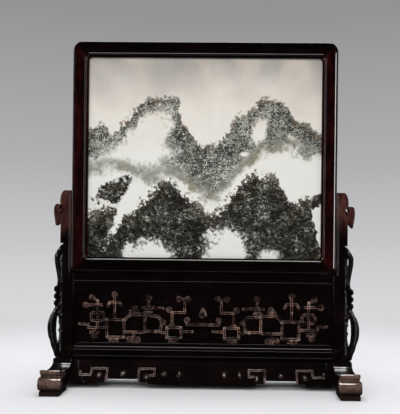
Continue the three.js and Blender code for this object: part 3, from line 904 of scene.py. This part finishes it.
def makeRail(name, node, drops):
    s = railSizes
    low, high = (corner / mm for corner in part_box(node))
    front = [(s["half"] - s["ease"], high.z), (s["half"], high.z - s["ease"])]
    for drop in drops:
        z = high.z - drop
        front += arc(s["half"], z, s["bead"], 90, -90, steps=10)
    front += [(s["half"], low.z + s["ease"]), (s["half"] - s["ease"], low.z)]
    falling = []
    for y, z in front:
        # a bead takes the place of the eased edge where both would be
        if not falling or z < falling[-1][1] + 1e-6:
            falling.append((y, z))
    section = falling + [(-y, z) for y, z in reversed(falling)]
    obj = plate(name, [section], low.x, high.x, s["rounding"], 0, toYZ)
    finishPiece(named(smoothed(obj, degrees=30), name), "dark_wood", railWood, node)


makeRail("rail_upper", "stand_upper_rail", railSizes["upper"])
makeRail("rail_lower", "stand_lower_rail", railSizes["lower"])
print("rails made")


# Carved panel

panelSizes = {
    "rim": 6.0,
    "boardHalf": 6.0,
    "rimHalf": 10.0,
    "relief": 3.0,
    "strap": 4.6,
    "curl": 5.4,
    "knob": 3.3,
    "stud": 0.9,
    "studPitch": 4.4,
    "cornerCut": 3.0,
    "knobProud": 0.5,
    "jewel": 5.2,
    "jewelCore": 0.22,  # share of the jewel
    "curlBand": 0.7,  # share of the strap
    "curlRing": 0.66,  # shares of the curl
    "curlCore": 0.36,
    "rosette": 1.5,  # shares of the knob
    "petalReach": 1.9,
    "rosetteProud": 0.6,
    "coreHeight": 0.9,  # shares of the relief
    "jewelHeight": 0.8,
    "rimRounding": 1.2,
    "boardRounding": 0.3,
    "studFoot": 0.5,
    # lines, curls and knobs on a grid of columns and rows from the middle of the panel, right half
    "columns": 44.0,
    "rows": 9.0,
    "bands": [
        [(0, -2.6), (5.5, -2.6), (5.5, -1.6)],
        [(6.4, 6.2), (6.4, 1.5), (11.2, 1.5)],
        [(5.2, 6.2), (8.4, 6.2)],
        [(10.8, 1.5), (10.8, -3)],
        [(9.8, -3), (11.9, -3)],
        [(12.6, -3.6), (7.6, -3.6), (7.6, -7.2), (12.6, -7.2), (12.6, -3.6)],
        [(7.6, -5), (3.9, -5)],
        [(10.3, -7.2), (10.3, -9)],
        [(14.4, -2.6), (15, -5), (20.3, -5)],
        [(14.6, -1.2), (15.8, 0.2), (20.3, 0.2)],
        [(16.4, 2.9), (14.2, 2.9)],
        [(19, 3.6), (19, 5.6)],
        [(20.3, -5.4), (27.7, -5.4), (27.7, -1.4), (25.6, 0.6), (20.3, 0.6), (20.3, -5.4)],
        [(24.2, -5.4), (24.2, -9)],
        [(24, 0.6), (24, 2)],
        [(27.7, -1.2), (33.7, -1.2), (33.7, -7.2), (27.7, -7.2), (27.7, -1.2)],
        [(28.4, 3.2), (29.3, 4.8), (32.7, 4.8), (33.6, 3.2)],
        [(31, 6.8), (31, -1.2)],
        [(31.3, -7.2), (31.3, -9)],
        [(33.7, -4), (40.2, -4), (40.2, -2.8), (43.6, -2.8)],
        [(37, 5.4), (37, -4)],
        [(37, 5.4), (38.4, 5.8)],
        [(35.2, 3.8), (40.4, 3.8)],
        [(39.2, 1.2), (34.7, 1.2), (34.7, -1.6), (39.2, -1.6), (39.2, 1.2)],
        [(16.6, 3.1), (21.6, 3.1)],
        [(25.8, 1.7), (22.2, 1.7)],
        [(36.2, -5.6), (39.8, -5.6)],
        [(8.6, -8.2), (12, -8.2)],
        [(29.6, -8.2), (33, -8.2)],
        [(12.6, -5.4), (14.6, -5.4)],
        [(38, -4), (38, -6)],
        [(25.4, -7.6), (24.2, -7)],
        [(23.1, -8), (24.2, -7.4)],
    ],
    "curls": [(5.2, 6.2), (8.4, 6.2), (11.8, 2.5), (14, -1.9), (18.9, 6.4), (23.9, 2.8), (25.8, -7.8),
              (22.7, -7.9), (31, 7.5), (38.9, 6.5), (41.2, 3.8), (38, -6.9),
              (5.5, -1.1)],
    "knobs": [(3.6, -5), (16.4, -5.3), (14, 2.9), (6.4, 5), (10.8, 1.5), (12.6, -7.2), (7.6, -7.2),
              (7.6, -3.6), (12.6, -3.6), (15, -5), (20.3, -5.2), (27.7, -5.4), (20.3, 0.6), (25.6, 0.6),
              (33.7, -1.2), (33.7, -7.2), (27.7, -7.2), (27.7, -1.3), (37, 5.4), (40.2, -3.6), (43.4, -2.8),
              (33, 4.4), (29, 4.4), (31, 1.6), (37, -4), (24.2, -7.2), (31.3, -8.8), (10.3, -8.8)],
    "rosettes": [(19.2, 1.4)],
    "petals": 6,
}

panelLow, panelHigh = (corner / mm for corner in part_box("carved_panel"))


def strapSection(width, high):
    # a ridge along each edge and a channel between them, high towards the viewer
    w = width / 2
    r = w * 0.3
    line = [(-w, -overlap), (-w, high * 0.5)]
    line += arc(r - w, high - r, r, 180, 20, steps=5)
    line += [(2 * r - w, high * 0.4), (w - 2 * r, high * 0.4)]
    line += arc(w - r, high - r, r, 160, 0, steps=5)
    line += [(w, high * 0.5), (w, -overlap)]
    return line


def dome(x, z, radius, base, top, sides=16, rings=8):
    # a rounded knob, its foot at base and its crown at top, both along -Y
    bpy.ops.mesh.primitive_uv_sphere_add(segments=sides, ring_count=rings, radius=1)
    obj = bpy.context.object
    obj.scale = (radius * mm, (top - base) * mm, radius * mm)
    obj.location = (x * mm, -base * mm, z * mm)
    return settled(obj)


def copied(obj, x, z):
    other = twin(obj)
    other.data.transform(Matrix.Translation((x * mm, 0, z * mm)))
    return other


def spaced(points, pitch):
    # places along a line, evenly apart in each straight stretch
    places = []
    for (xa, za), (xb, zb) in zip(points, points[1:]):
        count = max(1, round(math.dist((xa, za), (xb, zb)) / pitch))
        for i in range(count):
            t = (i + 0.5) / count
            places.append((xa + (xb - xa) * t, za + (zb - za) * t))
    return places


def cornersCut(points, cut):
    # each corner of a closed line gives way to a short slanting stretch
    line = []
    for i, point in enumerate(points):
        for other in (points[i - 1], points[(i + 1) % len(points)]):
            share = cut / math.dist(point, other)
            line.append(tuple(a + (b - a) * share for a, b in zip(point, other)))
    return line


def makePanel():
    s = panelSizes
    half, board = panelHigh.x, s["boardHalf"]
    crown, core = board + s["relief"], board + s["relief"] * s["coreHeight"]
    middle = (panelLow.z + panelHigh.z) / 2
    column = (half - s["rim"]) / s["columns"]
    row = ((panelHigh.z - panelLow.z) / 2 - s["rim"]) / s["rows"]

    def oblong(inset):
        x, low, high = half - inset, panelLow.z + inset, panelHigh.z - inset
        return [(-x, low), (x, low), (x, high), (-x, high)]

    def place(spot, side):
        return (side * spot[0] * column, middle + spot[1] * row)

    rim = plate("rim", [oblong(0), oblong(s["rim"])], -s["rimHalf"], s["rimHalf"], s["rimRounding"], 3)
    ground = plate("board", [oblong(0)], -board, board, s["boardRounding"], 0)
    plain = [painted(rim, darkWood), painted(ground, darkWood)]
    parts = []
    section = strapSection(s["strap"], s["relief"])
    curlSection = strapSection(s["strap"] * s["curlBand"], s["relief"])
    stud = dome(0, 0, s["stud"], board + s["studFoot"], core, 6, 4)
    for side in (-1, 1):
        for points in s["bands"]:
            placed = [place(p, side) for p in points]
            closed = points[0] == points[-1]
            if closed:
                placed = cornersCut(placed[:-1], s["cornerCut"])
            walk = [*placed, placed[0]] if closed else placed
            parts += [copied(stud, x, z) for x, z in spaced(walk, s["studPitch"])]
            parts.append(strap("strap", placed, section, closed, -board))
        for spot in s["curls"]:
            x, z = place(spot, side)
            radius = s["curl"] * s["curlRing"]
            parts.append(strap("curl", ring(x, z, radius, radius, steps=14), curlSection, True, -board))
            parts.append(dome(x, z, s["curl"] * s["curlCore"], board - overlap, core, 10))
        for spot in s["knobs"]:
            parts.append(dome(*place(spot, side), s["knob"], board, crown + s["knobProud"]))
        for spot in s["rosettes"]:
            x, z = place(spot, side)
            parts.append(dome(x, z, s["knob"] * s["rosette"], board, crown + s["rosetteProud"]))
            reach = s["petalReach"] * s["knob"]
            for petalX, petalZ in ring(x, z, reach, reach, s["petals"]):
                parts.append(dome(petalX, petalZ, s["knob"], board, crown))
    z, w = middle + row, s["jewel"]
    drop = arc(0, z, w, 180, 360, steps=10)
    drop += [(0.5 * w, z + 1.1 * w), (0, z + 2 * w), (-0.5 * w, z + 1.1 * w)]
    parts.append(strap("jewel", drop, curlSection, True, -board))
    parts.append(dome(0, z, w * s["jewelCore"], board, board + s["relief"] * s["jewelHeight"]))
    bpy.data.objects.remove(stud)
    relief = painted(joined("relief", *parts), carvedWood)
    return joined("panel_carved", *plain, relief)


finishPiece(smoothed(makePanel(), degrees=35), "dark_wood", None, "carved_panel")
print("carved panel made")


# Aprons

apronSizes = {
    "thickness": 8.0,
    "lean": 24.0,
    "groundGap": 6.5,
    "stepRise": 4.0,
    "archRise": 8.5,
    "archWidth": 55.0,
    "archMiddle": 136.0,
    "stepWidth": 14.5,
    "relief": 2.2,
    "band": 3.3,
    "knob": 2.4,
    "square": 27.0,
    "squareTop": 31.6,
    "squareBottom": 11.3,
    "hook": 19.0,
    "endInset": 11.0,
    "endSweep": 15.0,
    "dots": [39.0, 65.0],
    "dotDrop": 3.0,
    "dotGap": 1.3,
    "dotRing": 1.2,
    "tail": 9.0,
    "sweepRise": 2.2,
    "edge": 0.6,  # share of the band and of the relief
    "rounding": 0.9,
}

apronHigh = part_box("front_apron")[1] / mm

# how far a spot stands in front of the leaning face tells where the relief is paler: wear on its edges and
# a painted highlight on its raised tops
apronSlope = apronSizes["lean"] / (apronHigh.z - apronSizes["groundGap"])
apronFace = -(railSizes["half"] + apronSlope * apronHigh.z) * mm
apronLook = dict(
    carvedLook, polish=shades((14, 9, 8), (24, 15, 14), (38, 26, 24)),
    wearAndPaintedLight=((0, -1, apronSlope), apronFace, 0.0012, 0.0020),
    wornAndLit=shades((48, 34, 32), (96, 76, 72), (170, 148, 142)))
apronWood = makeWood("apronWood", apronLook)


def apronOutline():
    s = apronSizes
    low, top, half = s["groundGap"], apronHigh.z, apronHigh.x
    step, arch = low + s["stepRise"], low + s["archRise"]
    archFrom, archTo = s["archMiddle"] - s["archWidth"] / 2, s["archMiddle"] + s["archWidth"] / 2
    right = [(archFrom - s["stepWidth"], low), (archFrom - s["stepWidth"], step), (archFrom, step),
             (archFrom, arch), (archTo, arch), (archTo, step), (archTo + s["stepWidth"], step),
             (archTo + s["stepWidth"], low), (half, low)]
    return [(-x, z) for x, z in reversed(right)] + right + [(half, top), (-half, top)]


def leaned(obj):
    # the lower edge stands out past the upper one
    s = apronSizes
    for vertex in obj.data.vertices:
        drop = (apronHigh.z * mm - vertex.co.z) / ((apronHigh.z - s["groundGap"]) * mm)
        vertex.co.y -= drop * s["lean"] * mm
    return obj


def makeApron(name, carved):
    s = apronSizes
    face = railSizes["half"]
    board = plate("apronBoard", [apronOutline()], face - s["thickness"], face, s["rounding"], 2)
    parts = [painted(board, darkWood)]
    relief = []
    if carved:
        archFrom, archTo = s["archMiddle"] - s["archWidth"] / 2, s["archMiddle"] + s["archWidth"] / 2
        low, high = s["squareBottom"], s["squareTop"]
        middle = (low + high) / 2
        inner, outer = archFrom - s["square"], archTo + s["square"]
        end, endTop = apronHigh.x - s["endInset"], apronHigh.z - s["knob"]
        sweep = [(end, endTop)] + bend((end, endTop), (end + s["band"], (endTop + low) / 2),
                                       (end - s["endSweep"], s["groundGap"] + s["sweepRise"]), steps=8)
        lines = [
            [(archFrom, low), (archFrom, high), (inner, high), (inner, middle),
             (inner + s["tail"], middle)],
            [(archTo, low), (archTo, high), (outer, high), (outer, middle)],
            [(outer, middle), (outer + s["hook"], middle), (outer + s["hook"], high - s["band"])],
        ]
        dots = [(s["archMiddle"], middle + s["knob"]), (archFrom - s["square"] / 2, middle - s["dotDrop"]),
                (archTo + s["square"] / 2, middle)]
        dots += [(x, middle + s["knob"]) for x in s["dots"]]
        section = strapSection(s["band"], s["relief"])
        edge = strapSection(s["band"] * s["edge"], s["relief"] * s["edge"])
        rimRadius = s["knob"] + s["dotGap"]
        rimSection = strapSection(s["dotRing"], s["relief"] * s["edge"])
        for side in (-1, 1):
            trim = strap("sweep", [(side * x, z) for x, z in sweep], edge, False, -face)
            parts.append(painted(trim, darkWood))
            for line in lines:
                relief.append(strap("line", [(side * x, z) for x, z in line], section, False, -face))
            for x, z in dots:
                relief.append(dome(side * x, z, s["knob"], face, face + s["relief"]))
                rim = ring(side * x, z, rimRadius, rimRadius, steps=16)
                relief.append(strap("dotRing", rim, rimSection, True, -face))
        parts.append(painted(joined("relief", *relief), apronWood))
    return smoothed(leaned(joined(name, *parts)), degrees=35)


finishPiece(makeApron("apron_front", True), "dark_wood", None, "front_apron")
backApron = makeApron("apron_back", False)
backApron.data.transform(Matrix.Rotation(math.pi, 4, "Z"))
finishPiece(backApron, "dark_wood", None, "back_apron")
print("aprons made")


# Stone: pale marble with grey-green clouding that lies in ranges, as such picture stones are chosen

stoneSizes = {
    "width": 408.0,
    "height": 350.0,
    # each line runs across the stone: from the left edge, over the lower edge
    "farRidge": [(0, 222), (13, 230), (26, 235), (40, 216), (61, 239), (78, 257), (100, 278), (117, 284),
                 (149, 284), (158, 270), (163, 247), (182, 223), (197, 200), (218, 200), (235, 213),
                 (263, 248), (285, 263), (306, 282), (316, 284), (348, 263), (359, 246), (375, 241),
                 (390, 229), (408, 216)],
    "farFoot": [(0, 166), (27, 168), (60, 166), (100, 160), (145, 162), (156, 160), (179, 135), (193, 121),
                (207, 114), (223, 117), (241, 132), (258, 153), (271, 173), (288, 187), (306, 194),
                (355, 200), (373, 191), (408, 181)],
    "band": [(0, 152), (20, 157), (41, 163), (64, 160), (91, 151), (112, 144), (135, 153), (152, 154),
             (170, 138), (188, 122), (205, 114), (223, 117), (241, 132), (258, 151), (276, 167),
             (295, 185), (316, 196), (338, 201), (359, 202), (376, 193), (408, 186)],
    "nearRidge": [(0, 76), (20, 85), (52, 90), (64, 76), (77, 77), (91, 93), (108, 109), (122, 127),
                  (140, 136), (154, 127), (168, 113), (186, 103), (202, 87), (214, 79), (232, 89),
                  (249, 104), (267, 127), (281, 143), (293, 150), (306, 141), (325, 145), (338, 129),
                  (355, 105), (367, 98), (378, 107), (389, 95), (396, 66), (401, 38), (408, 10)],
    # ovals: middle, half length, half width, lean in degrees, and the shares of its size from which
    # and to which its edge fades
    "knoll": (46.0, 117.0, 34.0, 17.0, 30.0, 1.15, 0.85),
    "streak": (62.0, 88.0, 54.0, 6.5, 66.0, 0.8, 1.3),
    "cave": (97.0, 203.0, 70.0, 31.0, 53.0, 0.75, 1.2),
    "caveLow": (84.0, 182.0, 64.0, 24.0, 6.0, 0.7, 1.25),
    "gleam": (361.0, 207.0, 20.0, 5.0, -38.0, 0.6, 1.3),
    "spark": (272.0, 182.0, 8.0, 5.0, 0.0, 0.6, 1.3),
    "hollow": (301.0, 226.0, 27.0, 12.0, 72.0, 0.6, 1.4),
    "hollowLeft": (107.0, -2.0, 44.0, 33.0, 0.0, 0.75, 1.2),
    "hollowMiddle": (243.0, 4.0, 49.0, 38.0, 90.0, 0.75, 1.2),
    "hollowRight": (318.0, 0.0, 17.0, 15.0, 0.0, 0.7, 1.4),
    "tuft": (399.0, 100.0, 16.0, 9.0, 20.0, 1.2, 0.8),
    "sky": colour(166, 160, 153),
    "skyLow": colour(224, 218, 207),
    "mist": colour(229, 228, 221),
    "warm": colour(214, 203, 190),
    "haze": colour(206, 206, 201),
    "grain": colour(16, 18, 15),
    "nearDark": colour(44, 46, 41),
    "body": colour(104, 107, 98),
    "farGrain": colour(38, 40, 35),
    "farDark": colour(86, 89, 81),
    "farBody": colour(142, 143, 133),
    "fleck": colour(206, 206, 196),
    "olive": colour(138, 134, 112),
    "brown": colour(124, 96, 62),
    # noises from broad to fine: scale, detail, roughness, distortion
    "drift": (11, 4, 0.5, 0.6),
    "cloud": (14, 3, 0.5),
    "wisp": (34, 5, 0.6),
    "lump": (50, 3, 0.55),
    "sway": (60, 4, 0.6),
    "leaf": (170, 4, 0.62),
    "strokes": (170, 4, 0.65, 0.8),
    "veins": (210, 5, 0.72, 0.6),
    "grit": (430, 3, 0.7),
}


def makeStone():
    s = stoneSizes
    g = Graph("pictureStone")
    spot = g.wire(g.node("ShaderNodeTexCoord"), "Object")
    parts = g.node("ShaderNodeSeparateXYZ", None, Vector=spot)
    across = g.wire(parts, "X") / mm + s["width"] / 2
    up = g.wire(parts, "Z") / mm - (frameLow.z + mouldingLine()[1])
    cloud, lump, leaf, grit = (g.noise(spot, *s[name]) - 0.5 for name in ("cloud", "lump", "leaf", "grit"))
    veins = g.noise(g.scaled(spot, (1.0, 1.0, 1.7), rotation=(0, 0.5, 0)), *s["veins"]) - 0.5
    sway = g.noise(g.scaled(spot, location=(0.3, 0, 0.2)), *s["sway"]) - 0.5
    share = (across + sway * 36 + leaf * 16) / s["width"]

    def line(name):
        points = [(x / s["width"], max(0.0, z) / s["height"]) for x, z in s[name]]
        return g.curve(share, points) * s["height"]

    def oval(name, wobble):
        x, z, longHalf, shortHalf, lean, start, end = s[name]
        c, d = math.cos(math.radians(lean)), math.sin(math.radians(lean))
        dx, dz = across - x, up - z
        a = (dx * c + dz * d) / longHalf
        b = (dz * c - dx * d) / shortHalf
        return g.smooth((a * a + b * b) ** 0.5 + wobble, start, end)

    rough = lump * 34 + leaf * 74 + grit * 40
    ragged = lump * 1.6 + leaf * 1.5

    # sky above mist, with warm drifts and pale wisps
    height = up + cloud * 110
    sky = g.ramp(height / s["height"], [(0.5, s["mist"]), (0.74, s["skyLow"]), (1.0, s["sky"])])
    drift = g.noise(g.scaled(spot, (1.3, 1.0, 0.8), rotation=(0, 0.6, 0)), *s["drift"])
    warmth = g.smooth(drift, 0.42, 0.66) * g.smooth(height, 150, 330)
    picture = g.mix(warmth * 0.6, sky, (*s["warm"], 1))
    wisp = g.noise(g.scaled(spot, (1.0, 1.0, 2.2)), *s["wisp"])
    haze = g.smooth(wisp, 0.5, 0.72) * g.smooth(up, 240, 120)
    picture = g.mix(haze * 0.3, picture, (*s["haze"], 1))

    # the soft grey-green band under the far range
    fromBand = g.math("ABSOLUTE", up - line("band") + lump * 34 + leaf * 18)
    band = g.smooth(fromBand, 19, 3) * (g.smooth(lump + grit * 0.6, -0.22, 0.1) * 0.5 + 0.58)
    bandTint = g.mix(g.smooth(cloud + leaf * 0.4, -0.05, 0.1), (*s["farBody"], 1), (*s["olive"], 1))
    picture = g.mix(band, picture, bandTint)

    # the far range: speckled, open in the middle of each hill
    farTop = g.smooth(line("farRidge") - up + rough * 0.5, -2, 5)
    farLow = g.smooth(up - line("farFoot") + lump * 60 + leaf * 60, -14, 16)
    opening = oval("hollow", ragged * 1.5) * oval("cave", ragged * 0.7) * oval("caveLow", ragged * 0.7)
    opening = opening * oval("gleam", ragged) * oval("spark", ragged)
    far = farTop * farLow * opening
    speck = veins * 1.15 + grit * 1.3 + leaf * 0.5
    farInk = g.ramp(speck * 1.7 + lump * 1.3 + 0.45, [(0.3, s["farGrain"]), (0.44, s["farDark"]),
                                                      (0.6, s["farBody"]), (0.8, s["fleck"])])
    farInk = g.mix(g.smooth(cloud + lump * 0.8, 0.02, 0.16) * 0.55, farInk, (*s["olive"], 1), "MULTIPLY")
    fromRidge = g.math("ABSOLUTE", line("farRidge") - up - 5)
    dust = g.smooth(fromRidge, 10, 3) * g.smooth(leaf + grit, 0.02, 0.12)
    farInk = g.mix(dust * 0.7, farInk, (*s["brown"], 1))
    gaps = g.smooth(veins + grit - lump * 0.5, 0.14, 0.3)
    picture = g.mix(far * (1 - gaps * 0.75), picture, farInk)

    # the near range: darker, with pale gaps below and a streak like a waterfall
    nearTop = g.smooth(line("nearRidge") - up + rough * 0.75, -1.5, 3.5)
    nearLow = oval("hollowLeft", ragged) * oval("hollowMiddle", ragged) * oval("hollowRight", ragged)
    knoll = oval("knoll", ragged)
    tuft = oval("tuft", lump * 2.2 + leaf * 2.6)
    streak = oval("streak", lump * 2.0 + leaf * 2.8)
    near = ((nearTop * nearLow) | knoll | tuft) * streak
    depth = g.smooth(line("nearRidge") - up, 2, 45)
    clump = veins * 1.4 + grit * 1.1 + leaf * 0.9 + lump * 0.9
    nearInk = g.ramp(clump * 1.5 - depth * 0.05 + 0.42, [(0.36, s["grain"]), (0.54, s["nearDark"]),
                                                         (0.74, s["body"]), (1.0, s["fleck"])])
    strokes = g.noise(g.scaled(spot, (1.0, 1.0, 3.6), rotation=(0, -0.35, 0)), *s["strokes"])
    nearInk = g.mix(g.smooth(strokes, 0.56, 0.66) * 0.45, nearInk, (*s["farBody"], 1))
    rust = g.smooth(grit + leaf * 0.6, 0.05, 0.14) * (0.75 - depth * 0.5)
    nearInk = g.mix(rust, nearInk, (*s["brown"], 1))
    shadow = g.smooth(cloud - lump * 0.5, 0.05, 0.18) * 0.35
    nearInk = g.mix(shadow, nearInk, (*s["olive"], 1), "MULTIPLY")
    holes = g.smooth(veins + grit - lump * 0.6 - depth * 0.16, 0.16, 0.3)
    picture = g.mix(near * (1 - holes * 0.5), picture, nearInk)

    g.shade(Base_Color=picture, Roughness=grit * 0.1 + 0.34, Specular_IOR_Level=0.3)
    return g.material


painted(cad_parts["stone_panel"], makeStone())
print("stone made")


# Stage and lights

stageSizes = {
    # metres
    "centre": 0.0001,  # the floor starts from a ring too small to see
    "floorRadius": 1.5,
    "wallRadius": 3.4,
    "wallHeight": 4.2,
    "sides": 96,
    # the wall glows though it is no lamp: painted light, paler low down and greyer higher up
    "wallGlow": [(0.0, colour(214, 215, 217)), (0.14, colour(198, 198, 200)), (0.4, colour(176, 176, 178)),
            (1.0, colour(147, 147, 147))],
    "wallGlowHeight": 1.9,
    "wallGlowFrom": (0.55, 1.2),  # how far from the middle the floor gives way to the glowing wall
    "floorColour": colour(217, 217, 220),
    "world": (0.006, 0.006, 0.0065, 1),
}

# place and aim in metres; seen: shows in the polish; lights: falls on what isn't polished
studioLights = {
    "leftStrip": dict(place=(-1.5, -0.7, 0.7), aim=(0, 0, 0.3), size=(0.14, 1.3), power=8, lights=False),
    "rightStrip": dict(place=(1.5, -0.7, 0.7), aim=(0, 0, 0.3), size=(0.14, 1.3), power=6, lights=False),
    "topSoftbox": dict(place=(0, 0, 2.0), aim=(0, 0, 0), size=(1.5, 0.8), power=36),
    "frontFill": dict(place=(-0.2, -2.0, 1.3), aim=(0, 0, 0.25), size=(1.6, 1.0), power=24, seen=False),
    "backSoftbox": dict(place=(0.4, 1.6, 1.3), aim=(0, 0, 0.3), size=(1.2, 0.7), power=10, seen=False),
}


def makeStage():
    s = stageSizes
    rise = s["wallRadius"] - s["floorRadius"]
    profile = [(s["centre"], 0), (s["floorRadius"] / 2, 0)]
    profile += arc(s["floorRadius"], rise, rise, -90, 0, steps=16)
    profile.append((s["wallRadius"], s["wallHeight"]))
    rings = [[(x, y, z) for x, y in ring(0, 0, radius, radius, s["sides"])] for radius, z in profile]
    floor = lofted("floor", rings, closed=False)
    selectOnly(floor)
    bpy.ops.object.shade_smooth()
    floor.visible_glossy = False
    g = Graph("floor")
    spot = g.wire(g.node("ShaderNodeTexCoord"), "Object")
    parts = g.node("ShaderNodeSeparateXYZ", None, Vector=spot)
    x, y, up = g.wire(parts, "X"), g.wire(parts, "Y"), g.wire(parts, "Z")
    # painted light: the wall glows in a gradient by height
    glow = g.node("ShaderNodeEmission", None, Color=g.ramp(up / s["wallGlowHeight"], s["wallGlow"]))
    g.shade(Base_Color=(*s["floorColour"], 1), Roughness=0.9, Specular_IOR_Level=0.0)
    far = g.smooth((x * x + y * y) ** 0.5, *s["wallGlowFrom"])
    both = g.node("ShaderNodeMixShader", None, Fac=far, n1=g.wire(g.shader), n2=g.wire(glow))
    g.links.new(both.outputs[0], g.nodes["Material Output"].inputs["Surface"])
    floor.data.materials.append(g.material)


def softbox(name, place, aim, size, power, seen=True, lights=True):
    data = bpy.data.lights.new(name, "AREA")
    data.shape = "RECTANGLE"
    data.size, data.size_y = size
    data.energy = power
    light = linked(name, data)
    light.visible_glossy = seen
    light.visible_diffuse = lights
    light.location = place
    light.rotation_mode = "QUATERNION"
    light.rotation_quaternion = (Vector(aim) - Vector(place)).to_track_quat("-Z", "Y")


makeStage()
for name, look in studioLights.items():
    softbox(name, **look)
world = bpy.data.worlds.new("studio")
bpy.context.scene.world = world
world.use_nodes = True
world.node_tree.nodes["Background"].inputs["Color"].default_value = stageSizes["world"]
bpy.context.scene.view_settings.view_transform = "Standard"
print("stage and lights set")
